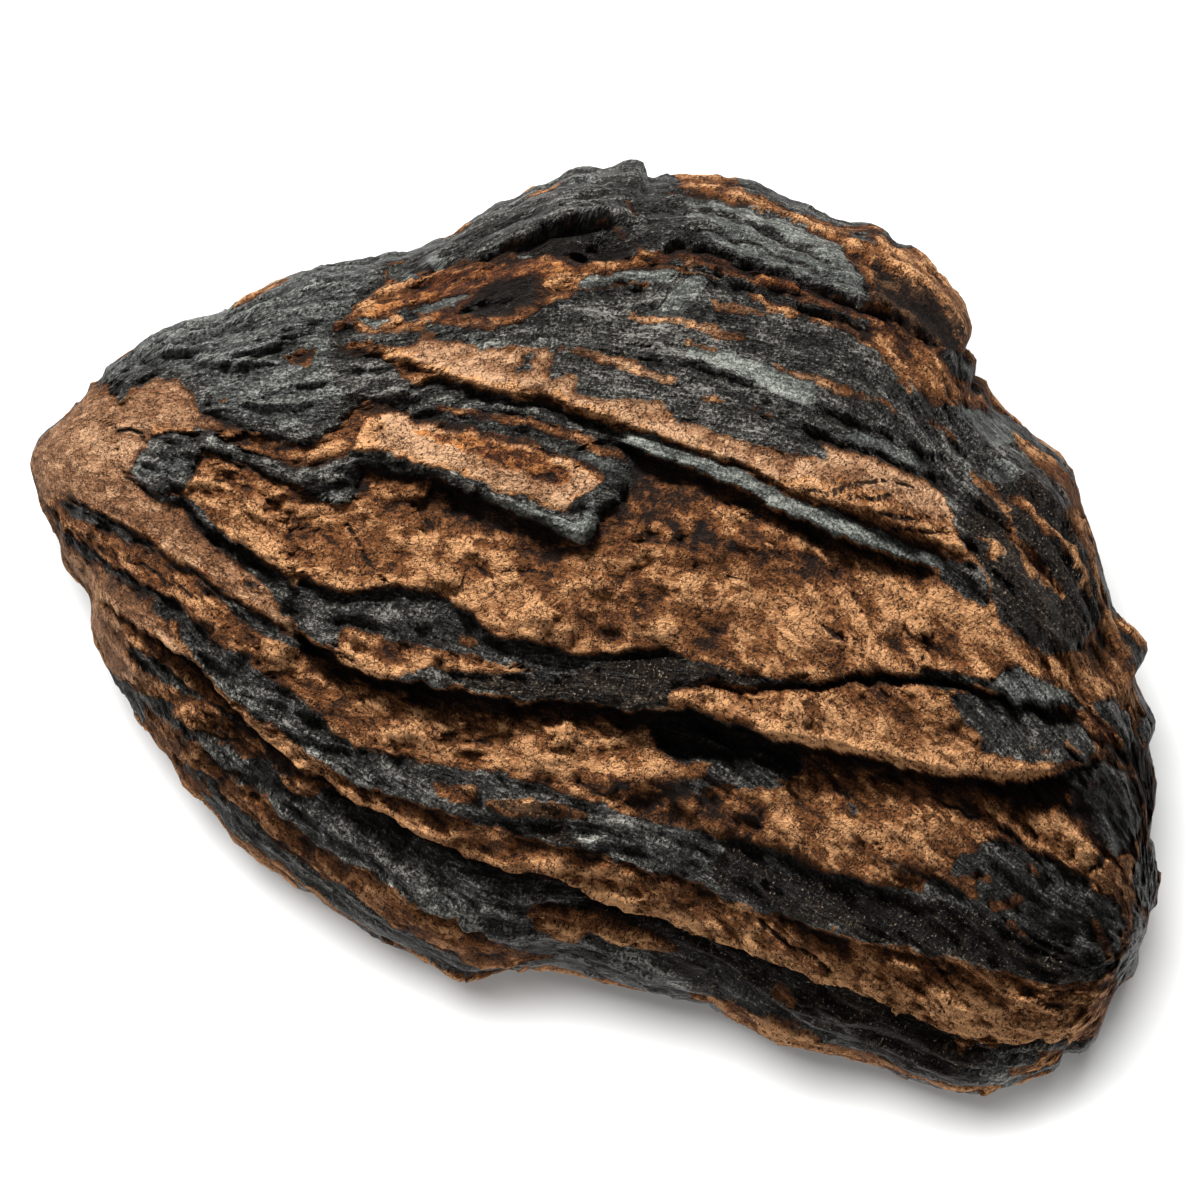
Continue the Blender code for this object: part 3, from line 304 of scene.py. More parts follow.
# The finishes of the showing side, painted one over the other.
MARKS = (
    # smooth tip and the thin layers that run to it
    Mark(Stuff.TAN, (-4, 4, 3, 14, 8, 12.5, 10, 12.5, 10.5, 16, 14.5, 18.8, 17, 19.5, 21, 16.6, 25, 16, 24,
        13.5, 21, 13, 15, 11, 15, 3, 19, 0.4, 26, -0.6, 33, -4.6, 40, -6.6, 46, -9.6, 49, -12.4, 40, -10.5,
        30, -8.5, 20, -6, 10, -4.2, 5, -4.5, 2, -7, -4, -4)),
    Mark(Stuff.TAN, (5, -9, 10, -11.6, 14, -13.2, 18, -14.2, 23, -15.2, 25, -17, 28, -18.6, 31, -20, 34,
        -21.4, 26, -20.6, 20, -18.8, 16, -18.4, 10, -15.6)),
    Mark(Stuff.TAN, (15, -19, 20, -20.6, 24, -23, 23.4, -25, 26, -27.6, 30, -28, 28, -30, 22, -28, 16,
        -23.6)),
    Mark(Stuff.ENAMEL, (6, -5.7, 0.5, 9, -6.1, 1.3, 13, -6.5, 1.4, 17, -7.4, 1, 22, -8, 0.6, 28, -9.2, 0.6,
        34, -10.6, 0.8, 39, -11.8, 1.3, 43, -12.8, 1.6, 48, -13.8, 1.2, 54, -14, 0.6), True),
    Mark(Stuff.ENAMEL, (3.5, -7, 0.4, 7, -9, 0.8, 10, -11, 1, 14, -12.6, 0.9, 18, -13.4, 0.9, 22, -13.9,
        0.9, 26, -14.4, 1, 30, -15.5, 1.3, 34, -17.2, 1.5), True),
    Mark(Stuff.ENAMEL, (23.5, -15.3, 26, -14.8, 31, -15.2, 31.6, -17.4, 29.5, -16.8, 28.8, -18.4, 27, -17.6,
        25, -16.8)),
    Mark(Stuff.ENAMEL, (36.5, -7.6, 38, -6.8, 40, -7.2, 39.5, -8.4, 37.5, -8.6)),
    # black bar, the slab's lower line and the strip below the wide bulge
    Mark(Stuff.ENAMEL, (19, 0.3, 0.5, 22, 1, 0.8, 25, 1.1, 1, 27, 0.3, 1, 30, -1.5, 1.2, 34, -3, 1.4, 38,
        -4.4, 1.5, 42, -5.9, 1.7, 45, -7.2, 2.1, 48, -8.4, 2.8), True),
    Mark(Stuff.ENAMEL, (46, -4.2, 50, -3.2, 54, -2.8, 57, -1, 60, 0.3, 66, 2, 73, 1.9, 75, 0.2, 79, -0.8,
        82, 0.3, 88, 0.9, 92, 1.2, 96, 2.6, 100, 4.4, 105, 6.2, 110, 6.6, 118, 7, 123, 8.2, 128, 10, 134,
        12.8, 139, 15.6, 145, 17.6, 152, 18.5, 152, 17.4, 145, 16.4, 139, 14.2, 134, 11.8, 128, 9, 122, 6.6,
        116, 4.8, 110, 3, 108.4, 0, 108, -2.7, 105, -4.4, 101, -5.2, 97, -5, 92, -6.4, 88, -8.2, 84, -9.4,
        78, -10.6, 72, -12, 68, -12.6, 60, -13.2, 53, -12.4, 47.5, -12, 46.5, -9.5, 45, -7)),
    Mark(Stuff.CEMENT, (55, -9.4, 58, -8.4, 61, -7.8, 64, -8.3, 66, -6.6, 69, -6.4, 73, -6.3, 76, -5.4, 80,
        -4.9, 84, -3.4, 86.5, -3.1, 83, -4.7, 79, -6.6, 74, -8.2, 70, -9.2, 67, -10.3, 66, -12, 63, -12.9,
        59, -12.3, 55.5, -11.3)),
    Mark(Stuff.CEMENT, (73, -2.5, 76, -1.9, 77.5, -2.2, 76, -3.2, 74, -4.4)),
    Mark(Stuff.SILVER, (92, -5.4, 0.3, 98, -4.2, 0.5, 104, -4, 0.5, 108, -2.6, 0.3), True),
    Mark(Stuff.FLECK, (72, -11, 78, -9.6, 84, -8.6, 90, -6.4, 96, -4.8, 104, -4.4, 108, -2.6, 109, 1.5, 112,
        3.6, 120, 6.4, 124, 8, 114, 6.4, 106, 5.8, 99, 3.6, 95, 0.8, 88, -3.6, 82, -5.6, 74, -9.2)),
    Mark(Stuff.ENAMEL, (46, 15.9, 50, 16.6, 54, 17.4, 60, 18.6, 66, 18.9, 74, 18.8, 80, 18.3, 86.5, 17.8,
        88, 21, 89, 25, 91, 31, 86, 31.8, 84.6, 29.6, 86.6, 28.4, 86.4, 27.6, 84.4, 26.2, 84.5, 25, 83, 24,
        82.8, 22, 78, 22, 74, 21.6, 70, 20.8, 65, 20.9, 60, 20.2, 54, 19.6, 50, 18.9, 46, 17.6)),
    Mark(Stuff.ENAMEL, (50, 27.2, 54, 27.8, 58, 28.2, 62, 29.2, 68, 29.9, 76, 30, 84, 30.2, 90.5, 31.2, 90,
        36, 84, 36.8, 76, 36.4, 68, 35.6, 60, 35, 55, 34.2, 51, 31.4)),
    Mark(Stuff.CEMENT, (56, 30.2, 0.5, 60, 31, 0.65, 65, 31.9, 0.6, 70, 32.6, 0.65, 74, 33.1, 0.85, 80,
        33.2, 0.9, 87, 32.8, 0.9), True),
    Mark(Stuff.SILVER, (55, 31.4, 0.7, 60, 32.8, 0.8, 66, 33.8, 0.6, 72, 34.4, 0.5), True),
    Mark(Stuff.SILVER, (60, 29.5, 0.5, 66, 30.6, 0.7, 72, 31.4, 0.8, 78, 31.5, 0.6), True),
    Mark(Stuff.TAN, (50, 20, 55, 20.6, 60, 21.2, 66, 21.8, 70, 21.4, 76, 22.4, 80, 22.6, 82.4, 22.4, 83,
        24.4, 84.8, 25.2, 86, 27.4, 84.6, 28.4, 78, 29.2, 72, 28.9, 66, 28.6, 60, 27.8, 55, 27.2, 50,
        26.8)),
    Mark(Stuff.RUST, (55, 25, 60.4, 25.4, 70, 25.3, 79, 25.4, 80.6, 26.8, 79, 28.2, 74, 28.5, 68, 28.2, 63,
        28, 60, 26.6)),
    Mark(Stuff.SILVER, (48, 17.4, 0.4, 54, 18.4, 0.8, 60, 19.4, 0.6, 66, 19.9, 0.5, 71, 19.8, 0.3), True),
    Mark(Stuff.BLUE, (72, 19.4, 0.5, 76, 19.6, 1.1, 81, 19.6, 1.4, 85.2, 19.4, 1.6, 86.6, 21, 1.2, 86, 22.6,
        0.7), True),
    Mark(Stuff.BLUE, (79, 30.2, 84, 30.2, 88, 30.2, 90.4, 31, 88, 31.6, 83, 31.8, 80, 31)),
    Mark(Stuff.ENAMEL, (21.5, 13.2, 24, 13.6, 27, 13.3, 31, 12.7, 37, 12.8, 41, 14, 44, 15.5, 47, 17.5,
        48.8, 16, 49.6, 13, 49, 10.5, 47, 9.6, 44, 9.7, 41, 10.3, 37, 9.7, 34, 9.7, 30, 10.2, 26, 10.8, 23,
        11)),
    Mark(Stuff.SILVER, (24, 12.6, 26, 12.9, 28.6, 12.2, 27, 11.4, 24.6, 11.6)),
    Mark(Stuff.SILVER, (42.5, 12.8, 45, 14.6, 47, 15, 46, 13, 44, 12)),
    Mark(Stuff.ENAMEL, (15, 3.5, 15, 9.3, 16.5, 10.5, 20, 11.6, 21, 12, 23.4, 11, 23.6, 6, 22.6, 3.5, 20.5,
        1.5, 18.5, 0.5, 17, 1.8)),
    Mark(Stuff.PLATE, (15.4, 4, 15.6, 6, 18, 5.2, 21, 9.4, 22.8, 9, 22.4, 6, 20, 5, 18, 3.6)),
    # black crust of the upper left and the ridge
    Mark(Stuff.ENAMEL, (2, 12.6, 4, 13.5, 5, 14.6, 8, 13, 9.8, 12.3, 10.3, 15, 12, 17.2, 14.5, 18.6, 17, 19,
        19, 17.8, 21, 16.2, 25, 15.7, 30, 16, 36, 16, 39.5, 16.5, 41, 17.8, 43, 20.5, 44.5, 24, 45.5, 26.3,
        48.5, 27.3, 51, 27.3, 52, 29, 54, 31.5, 52, 32.3, 50, 31.8, 47.5, 33.2, 45, 34, 42, 32.8, 39.5,
        32.5, 38, 33.5, 40, 34.5, 43, 35.2, 47, 36.8, 50, 38.3, 55, 40.5, 59, 41.8, 58, 42.6, 52, 41, 46,
        39, 41, 37, 39, 38, 37.5, 40, 39.5, 42, 41.5, 45, 41, 47.5, 43.5, 50, 46, 49, 48, 50.5, 52, 53.5,
        56, 56, 60, 60, 65, 64.8, 70, 67.5, 74, 67, 76.5, 65.5, 77, 70, 76, 75.2, 74, 80, 68, 80, 55, 70,
        40, 56, 25, 44, 12, 32, 0, 18)),
    Mark(Stuff.PLATE, (1, 14, 8, 16, 13, 20, 18, 21, 24, 18, 34, 18, 40, 21, 42, 25.6, 38, 30, 36, 34, 37,
        40, 39, 46, 42, 52, 52, 60, 60, 67, 68, 72, 68, 82, 50, 70, 20, 46, 6, 28)),
    Mark(Stuff.CEMENT, (30, 28.3, 33, 31, 35, 31.2, 34.8, 28.8, 31, 28)),
    Mark(Stuff.CEMENT, (24.6, 20, 25.2, 19.8, 25, 18.5, 24.4, 18.6)),
    Mark(Stuff.RUST, (36.5, 36, 0.5, 39, 38.5, 0.6, 42, 40.8, 0.6, 44, 43, 0.7, 47, 45, 1.6, 49, 46.5, 2,
        51.5, 49.5, 1.2, 53.5, 51.5, 0.8, 57, 55, 0.4), True),
    Mark(Stuff.RUST, (44, 43, 47, 44, 49, 43, 51, 41.8, 54, 43, 55.5, 46, 58, 49.5, 62, 52, 64, 54.5, 68,
        57.5, 71, 58.8, 68, 59.3, 64, 57, 61, 58.5, 59, 57.5, 57, 54.5, 54, 51, 51, 49.5, 48, 48.7, 46,
        46.5)),
    Mark(Stuff.SILVER, (41.5, 47.5, 43.5, 49.6, 45.5, 49, 46, 47, 44, 46.2)),
    Mark(Stuff.BLUE, (47.5, 43.3, 50, 45, 53, 47.8, 55.2, 49.3, 54, 47, 51, 44.2, 49, 43)),
    Mark(Stuff.BLUE, (60, 58.3, 63, 59.8, 67, 61.3, 65, 60.3, 61.5, 58)),
    Mark(Stuff.BLUE, (40, 38.6, 42, 39.8, 44, 40.2, 42.5, 38.6)),
    Mark(Stuff.BLUE, (46.3, 50.8, 48, 52.5, 49.5, 51.5, 48.5, 50)),
    # Painted shadow: the next three lay black into the two hollows of the crust and into the one under the
    # ridge's broken end.
    Mark(Stuff.ENAMEL, (44.5, 41.5, 46, 43.5, 49, 43, 48, 41.3)),
    Mark(Stuff.ENAMEL, (55, 45, 60, 48, 64, 52, 63, 54.5, 60, 51, 56, 48.5, 54.5, 46)),
    Mark(Stuff.ENAMEL, (61, 58.4, 64, 59.4, 68, 59.6, 74, 62, 78, 64.4, 76, 66, 71, 67, 67, 66, 62, 62, 60,
        60)),
    Mark(Stuff.RUST, (72, 72.3, 74, 71, 75.5, 69, 74.8, 68.6, 73, 70.2)),
    # stack of plates along the top
    Mark(Stuff.ENAMEL, (76, 74, 80, 75, 85, 76.3, 90, 77.2, 97, 77.4, 103, 77, 108, 76, 112, 74.5, 114.3,
        72, 114.8, 70, 112, 69.6, 103, 69.4, 97, 68.8, 90, 69.1, 86, 68.3, 82, 66.3, 79, 65.2, 76.6, 66, 76,
        70)),
    Mark(Stuff.BLUE, (81, 74.8, 86, 75.6, 92, 76.8, 98, 77, 104, 76.6, 109, 75.4, 112.6, 73.6, 114, 71.4,
        113, 70.2, 104, 70, 96, 69.6, 90, 70, 86, 71, 83, 73)),
    Mark(Stuff.ENAMEL, (80, 73.2, 0.3, 87, 74.4, 0.5, 94, 74.6, 0.5, 102, 74.2, 0.45, 109, 72.8,
        0.3), True),
    Mark(Stuff.ENAMEL, (84, 71.4, 0.3, 92, 72, 0.35, 100, 71.6, 0.4, 110, 70.9, 0.25), True),
    Mark(Stuff.ENAMEL, (86, 80.2, 0.4, 90, 80.4, 1, 95, 80.3, 1.2, 100, 80, 1.2, 105, 79.6, 1.1, 110, 80,
        1.8, 113, 81, 2.2, 116, 80.2, 0.6), True),
    Mark(Stuff.SILVER, (90, 79.2, 0.3, 96, 79.3, 0.3, 103, 78.9, 0.35), True),
    Mark(Stuff.SILVER, (106.5, 80.4, 109, 81.6, 111.2, 82.4, 111.4, 79.8, 109, 79.6)),
    Mark(Stuff.DARK, (114, 75.8, 123, 75.2, 128, 72.6, 131.4, 70, 130.4, 68.3, 124, 68.8, 120, 70, 114.5,
        70.5)),
    Mark(Stuff.RUST, (79, 64.6, 82, 66, 86, 68, 90, 68.8, 97, 68.6, 103, 69, 112, 69.2, 119, 69.6, 121,
        67.6, 114, 67, 108, 66.8, 103, 66.2, 95, 66, 88, 65.6, 83, 64.6)),
    Mark(Stuff.ENAMEL, (84, 65, 0.3, 90, 65.4, 0.5, 97, 65.9, 0.6, 104, 65.8, 0.6, 110, 66.6, 0.4, 116,
        66.8, 0.5), True),
    Mark(Stuff.ENAMEL, (128.5, 66.5, 131, 68.4, 134, 68, 135.6, 65, 133.5, 63.3, 131, 64.8)),
    Mark(Stuff.ENAMEL, (134.8, 65, 138, 64.8, 138.6, 63, 136, 62.4)),
    # long pinkish band, then the dark slab over it
    Mark(Stuff.TAN, (48, 36, 56, 36, 64, 37, 72, 38.6, 80, 39, 90, 38.4, 100, 38.4, 112, 38.4, 116, 40, 124,
        42, 136, 42, 142, 41, 136, 48, 120, 49, 100, 46, 80, 46, 60, 46, 50, 41)),
    Mark(Stuff.ENAMEL, (50, 39.8, 55, 42.8, 60, 45, 64, 47.5, 66, 51, 70, 54, 70, 56, 76, 57.4, 82, 60, 85,
        63, 87, 64.4, 91, 64.6, 96, 65.8, 104, 65.6, 108, 64.2, 113, 64.5, 118, 63.5, 122, 62.5, 128, 60.5,
        131, 58, 136, 59.4, 141, 61.6, 144, 58.5, 146, 57, 150, 54.5, 156, 52, 158, 50.5, 162, 46, 165, 42,
        167.3, 36, 167, 30, 163, 27.3, 158, 28, 154, 29.5, 151, 32, 150, 35, 146, 38.5, 143, 40.5, 140,
        43.5, 137, 46.5, 131, 47.6, 124, 47.3, 118, 47, 115, 46.3, 118.3, 44.3, 115, 43, 108, 42.8, 103,
        42.3, 98, 42.3, 93, 41.7, 91, 43.5, 89.5, 44, 86, 42.6, 80, 40.5, 76.5, 40, 76, 42.3, 73, 42.3,
        71.8, 40, 71, 41.5, 71.3, 45, 70, 45.6, 64, 44.3, 60, 42.8, 54, 41.2)),
    Mark(Stuff.ENAMEL, (66, 40.4, 0.4, 67.6, 41.4, 0.6, 67, 42.4, 0.7, 68, 43.4, 0.6), True),
    Mark(Stuff.ENAMEL, (51, 39.6, 55, 40.6, 58.6, 42, 57, 42.6, 53, 41.6)),
    Mark(Stuff.TAN, (72, 45.9, 0.5, 78, 46.4, 0.9, 84, 47, 0.8, 90, 47.4, 0.8), True),
    Mark(Stuff.CEMENT, (94.5, 46, 97, 47.4, 100.4, 48, 98.6, 46.6)),
    Mark(Stuff.CEMENT, (104, 47.5, 0.3, 107, 47.7, 0.3), True),
    Mark(Stuff.SILVER, (50, 41.3, 0.6, 55, 41.9, 0.7, 60, 42.9, 0.8, 65, 44.4, 0.4, 70, 46.1, 0.35, 73, 47,
        0.7, 77, 48.8, 0.4), True),
    Mark(Stuff.BLUE, (70, 56, 74, 57.3, 80, 59.8, 84.5, 61.5, 86, 63, 84, 63.8, 80, 62.2, 75, 59.7, 70,
        57.4)),
    Mark(Stuff.BLUE, (82, 56.5, 84, 58.4, 86.4, 61.4, 87.4, 64.2, 89.8, 64.6, 90, 61.5, 87.4, 58, 86,
        56.8)),
    Mark(Stuff.BLUE, (90, 51.6, 98, 52, 106, 51.6, 112, 51.2, 112, 54.6, 104, 54.8, 96, 55, 91, 54.6)),
    Mark(Stuff.TAN, (79, 55, 0.5, 83, 55.3, 0.7, 87.5, 57.2, 0.5), True),
    Mark(Stuff.TAN, (89, 54.3, 0.4, 95, 54.5, 0.4), True),
    Mark(Stuff.TAN, (89, 57.2, 0.7, 94, 57, 0.9, 98, 57.6, 0.7), True),
    Mark(Stuff.TAN, (92, 60.5, 0.6, 97, 61.2, 0.9, 100, 61.8, 0.5), True),
    Mark(Stuff.CEMENT, (97, 64.6, 0.8, 101, 64.1, 1.4, 104.6, 64.2, 1), True),
    Mark(Stuff.CEMENT, (107.6, 65, 0.6, 110.6, 65.3, 1.2, 113.6, 65.4, 0.6), True),
    Mark(Stuff.CEMENT, (117, 64.4, 0.7, 120, 64.6, 1.6, 124, 62.7, 1.8, 128, 60.8, 0.8), True),
    Mark(Stuff.CEMENT, (124.6, 60.4, 0.5, 126.2, 59, 0.5), True),
    Mark(Stuff.TAN, (105, 55.3, 0.45, 112, 55.4, 0.8, 120, 55.6, 0.75, 125, 55.6, 0.4), True),
    Mark(Stuff.CEMENT, (129.4, 55.6, 0.5, 132, 55.4, 0.75, 135, 54, 0.45), True),
    Mark(Stuff.CEMENT, (122, 67.5, 125, 68.3, 127, 67, 131, 63.8, 136, 61.8, 138, 60.5, 134, 60.3, 130,
        62.6, 126, 65, 123, 66)),
    Mark(Stuff.SILVER, (131, 52.4, 134, 53.2, 139, 52.5, 140.2, 51.7, 137, 51, 133, 51.2)),
    Mark(Stuff.BLUE, (116, 48.4, 120, 49.7, 126, 50.5, 131, 50.5, 134, 49, 131, 48.6, 122, 48.4)),
    Mark(Stuff.BLUE, (135, 60, 140, 59.8, 143.8, 59, 144.6, 57, 142, 55, 138, 57.3, 135.5, 58)),
    Mark(Stuff.BLUE, (142, 53.4, 147, 54, 146.4, 50.2, 142.4, 50.6)),
    Mark(Stuff.SILVER, (148.6, 58.4, 150, 58.8, 151.4, 57.6, 149.8, 57)),
    # fingers of the upper right and the brown bits among them
    Mark(Stuff.FLECK, (146, 38.5, 150, 35.4, 151.4, 32, 154.4, 29.8, 158, 28.4, 162.6, 27.8, 166.4, 30.4,
        166.8, 36, 164.4, 42, 161.4, 46, 157.4, 50.2, 150, 54, 146.6, 51, 143, 47, 141, 43.2)),
    Mark(Stuff.CEMENT, (144, 58.8, 150, 57.5, 155, 55, 158, 52.5, 157, 52, 152, 54.5, 147, 55.5, 145,
        57.5)),
    Mark(Stuff.CEMENT, (146.5, 47.8, 149, 49.9, 151.5, 48.3, 153, 46.8, 156, 45.8, 160, 43.6, 163, 40.4,
        164.6, 37.6, 163, 38.4, 160, 41.6, 156, 44, 152.4, 45.6, 150.6, 46.4, 148, 47.2)),
    Mark(Stuff.CEMENT, (140, 49.4, 0.5, 145, 47.6, 0.6, 149, 45, 0.5), True),
    Mark(Stuff.CEMENT, (148, 44.6, 0.6, 152, 42.4, 0.9, 154, 40.6, 1.2, 155, 38.4, 0.8), True),
    Mark(Stuff.CEMENT, (155, 40, 0.5, 158, 38.2, 0.9, 160.6, 36.8, 0.8), True),
    Mark(Stuff.CEMENT, (144.6, 41.4, 149.4, 41, 150.4, 39.4, 148.6, 37.8, 147.4, 38.4, 148, 40.2, 145.4,
        40.6)),
    Mark(Stuff.CEMENT, (156, 50.5, 159.4, 50.8, 163, 46, 166.6, 41, 167.6, 37, 165.4, 38, 163, 42, 160,
        45.4, 157, 48)),
    # grey green plate
    Mark(Stuff.BLUE, (85, 37.6, 92, 37.7, 98, 37.7, 106, 37.6, 112, 37.3, 116, 36.6, 122, 36.4, 130, 36.3,
        141, 36.4, 142.4, 34.4, 138, 33.8, 134, 33.6, 128, 33.2, 120, 33.4, 115, 34, 108, 34.6, 100, 35, 92,
        35, 87, 35.2)),
    Mark(Stuff.ENAMEL, (142, 33, 143, 36.4, 147, 36.6, 150, 34, 149.6, 31, 146, 31)),
    # tongue and what lies at the right
    Mark(Stuff.ENAMEL, (150.5, 16.3, 154, 18, 160, 18.8, 166, 19.6, 171, 18.7, 174, 17.4, 173.5, 14.5, 171,
        13.8, 170, 12, 168, 11.5, 165, 10.5, 160, 10.3, 157, 10, 156, 12.5, 152.5, 14.6)),
    Mark(Stuff.CEMENT, (164.4, 13.4, 165.4, 13.6, 168, 13.8, 167.4, 13, 165, 12.8)),
    Mark(Stuff.CEMENT, (160.6, 10, 161.4, 11, 163, 10.4, 162, 9.6)),
    Mark(Stuff.CEMENT, (165.6, 10, 167, 10.9, 167.6, 10.2, 166.4, 9.4)),
    Mark(Stuff.CEMENT, (169.2, 16.2, 0.2, 172.4, 15.6, 0.25), True),
    Mark(Stuff.PLATE, (155.5, 20, 157, 23.5, 159, 24.2, 163, 23.5, 167, 23.3, 170.5, 21.8, 171.5, 21.3, 168,
        20.5, 164, 19.5, 160, 18.7, 157, 18.9)),
    Mark(Stuff.ENAMEL, (144, 18, 0.5, 150, 19, 0.6, 156, 20.4, 0.7), True),
    Mark(Stuff.ENAMEL, (171.5, 23.5, 174, 24.8, 177, 23.7, 179, 22.4, 180.4, 20, 179.6, 17.6, 178, 16.4,
        178.4, 19, 176, 21, 173, 21.9)),
    Mark(Stuff.RUST, (171.6, 21.8, 175, 21.4, 178.2, 18.8, 178, 17, 175, 17.8, 172, 20)),
    Mark(Stuff.SILVER, (179.6, 20.6, 0.2, 179.4, 18.2, 0.3, 177.6, 16.6, 0.2), True),
    Mark(Stuff.ENAMEL, (169.6, 37.8, 173, 36.8, 176.8, 34.6, 177.2, 32, 175.4, 30, 174.8, 32.8, 173.5, 34,
        171, 34.8)),
    Mark(Stuff.ENAMEL, (180, 25.4, 183, 23.8, 183, 21.4, 181, 19.6, 179.8, 22)),
    Mark(Stuff.DARK, (175, 17, 181.8, 19.6, 185.4, 16, 187.6, 10, 187.4, 5.6, 185.6, 8, 184, 12.5, 181,
        15.4, 178, 16.2)),
    Mark(Stuff.ENAMEL, (171, 11.5, 173, 13, 176, 15.3, 179, 14.8, 182, 12.8, 184.2, 9.5, 185.3, 6.5, 184.8,
        4.5, 183.2, 2.2, 181.6, 2.6, 179.5, 4.8, 177.5, 7.5, 175, 9.2, 171, 9.6)),
    Mark(Stuff.DARK, (175.3, 12.5, 177.5, 13.5, 178, 12, 176, 11.3)),
    Mark(Stuff.ENAMEL, (186.5, 5.5, 189.4, 4.6, 193, 0.6, 193.6, -3, 191.3, -5, 189.5, -3.5, 188, -2, 187,
        0)),
    Mark(Stuff.ENAMEL, (188.6, -4.6, 191, -4.8, 193.4, -8, 194.4, -12, 194, -16, 191, -18.4, 189.6, -15,
        190, -9)),
    # hollow under the lens
    Mark(Stuff.ENAMEL, (107, -6, 109, -3, 114, -1, 120, 0, 131.5, 0, 132.5, -4, 131, -6.4, 127, -6.6, 122,
        -8, 117, -9, 113, -9.8, 109, -9.4)),
    Mark(Stuff.ENAMEL, (117, -8, 121, -7, 128, -6, 131, -7.5, 126, -10, 121, -10.5, 119, -12, 119.5, -14,
        117, -12.5, 113, -13, 110, -14, 113, -12, 117, -10.3)),
    Mark(Stuff.ENAMEL, (140, -6.3, 144, -6.1, 143.4, -8, 140.5, -8.5)),
    Mark(Stuff.ENAMEL, (141, -12, 0.3, 147, -12.4, 0.4, 152, -12.6, 0.8, 156, -12.4, 0.4), True),
    Mark(Stuff.ENAMEL, (131, -7, 0.3, 134, -9, 0.5, 139, -9.8, 0.3), True),
    # black band of the lower half
    Mark(Stuff.ENAMEL, (30, -16.5, 32, -16, 36, -17, 40, -17.6, 43.5, -17.8, 44.5, -19.5, 48, -20.3, 52,
        -21.5, 56, -22.8, 60, -24.4, 65, -24.7, 70, -24.5, 75, -23.2, 80, -22.2, 84, -21, 87, -20.2, 95,
        -20.3, 103, -19.6, 110, -19.4, 118, -18, 124, -17.4, 129, -16, 133, -16.6, 138, -16.6, 142, -16.8,
        147, -16.3, 152, -15.8, 156, -15, 156, -13.5, 152, -13.6, 155, -12.3, 159, -12, 162, -13, 166, -15,
        170, -14, 172, -11, 175, -12, 182, -10, 186, -12, 189, -15.5, 187.6, -18.4, 185, -20.2, 178, -21.7,
        170, -22.2, 163, -23.2, 157, -24.2, 150, -25.5, 140, -25.8, 133, -26.7, 127, -26.7, 122, -26.2, 115,
        -27, 108, -28, 103, -28.8, 98, -29, 92, -29.2, 86, -29.8, 80, -30.2, 75, -30.5, 70, -31.1, 65,
        -30.8, 60, -29.7, 55, -28.5, 50, -27.7, 45, -26.6, 40, -24.6, 36, -22.5, 33, -20.9, 31, -19.1)),
    Mark(Stuff.ENAMEL, (163, -4, 166, -2.7, 170, -2.8, 175, -3.3, 179, -3, 182, -4.5, 186, -5, 187.5, -6,
        189, -9, 190, -14, 188, -17, 184, -19.5, 172, -20, 160, -16, 158.8, -10, 160, -6.8, 162, -6.5)),
    Mark(Stuff.CEMENT, (170.6, -4.8, 172, -5, 173, -5.8, 171.8, -5.6)),
    Mark(Stuff.CEMENT, (164, -9.4, 0.3, 166.4, -9.2, 0.25), True),
    Mark(Stuff.CEMENT, (160, -11.6, 0.4, 163.4, -11.4, 0.8, 165, -12.6, 0.4), True),
    Mark(Stuff.CEMENT, (171.4, -10.6, 0.4, 170.6, -12, 0.6, 168.4, -13, 0.5), True),
    Mark(Stuff.CEMENT, (184, -9.6, 0.2, 186, -11.6, 0.35, 188, -14, 0.3), True),
    Mark(Stuff.CEMENT, (172, -14.8, 0.3, 174, -16.6, 0.4), True),
    Mark(Stuff.SILVER, (40, -23.9, 0.3, 48, -26.5, 0.6, 56, -28.2, 0.8, 64, -29.9, 0.6, 70, -30.5, 0.4, 78,
        -29.9, 0.25), True),
    Mark(Stuff.CEMENT, (77.5, -26, 80, -26, 84, -24.6, 85, -25.8, 83, -27.2, 79, -27.5)),
    Mark(Stuff.DARK, (87, -25.8, 92, -24, 97, -22.8, 103, -22.6, 98, -24.4, 92, -26)),
    Mark(Stuff.FLECK, (94, -26.6, 99, -25, 104, -24.6, 110, -25.4, 111, -27, 104, -28, 97, -28)),
    Mark(Stuff.SILVER, (101, -24.4, 106, -24.2, 110, -25.4, 110.4, -27, 105, -27.6, 101.6, -26.6)),
    Mark(Stuff.SILVER, (104, -23.4, 108, -21.4, 113, -20.8, 119, -21, 119.5, -22.6, 114, -22.4, 110,
        -23.2)),
    Mark(Stuff.FLECK, (126, -18.5, 134, -18, 142, -18.4, 152, -17.4, 160, -15.4, 170, -15, 180, -15.4, 187,
        -16.4, 186, -18.8, 178, -20.8, 170, -21.4, 162, -22.6, 150, -24.6, 140, -24.8, 133, -25.4, 127, -25,
        124, -22)),
    # band under it and the lowest bands
    Mark(Stuff.ENAMEL, (26.5, -21.1, 0.4, 29, -21.8, 0.8, 33, -21.9, 0.7, 36, -22.3, 0.3), True),
    Mark(Stuff.ENAMEL, (24, -24.3, 0.9, 27, -25.7, 1.8, 30, -26.4, 1.5, 34, -26.6, 0.9, 38, -27.6, 0.7, 43,
        -29, 0.7, 48, -30.4, 0.7, 54, -31.6, 0.5), True),
    Mark(Stuff.ENAMEL, (22.5, -28, 26, -29.2, 29, -30.3, 31.5, -29.2, 34, -29.3, 35, -30.8, 37, -31.8, 42,
        -32.6, 47, -33.2, 52, -32.8, 58, -32.4, 64, -33.4, 69, -34.6, 72, -34.4, 78, -36.4, 86, -36.8, 94,
        -36.2, 100, -34.8, 108, -35.4, 118, -35, 130, -34.8, 140, -34.6, 147, -35, 152, -34, 160, -34.8,
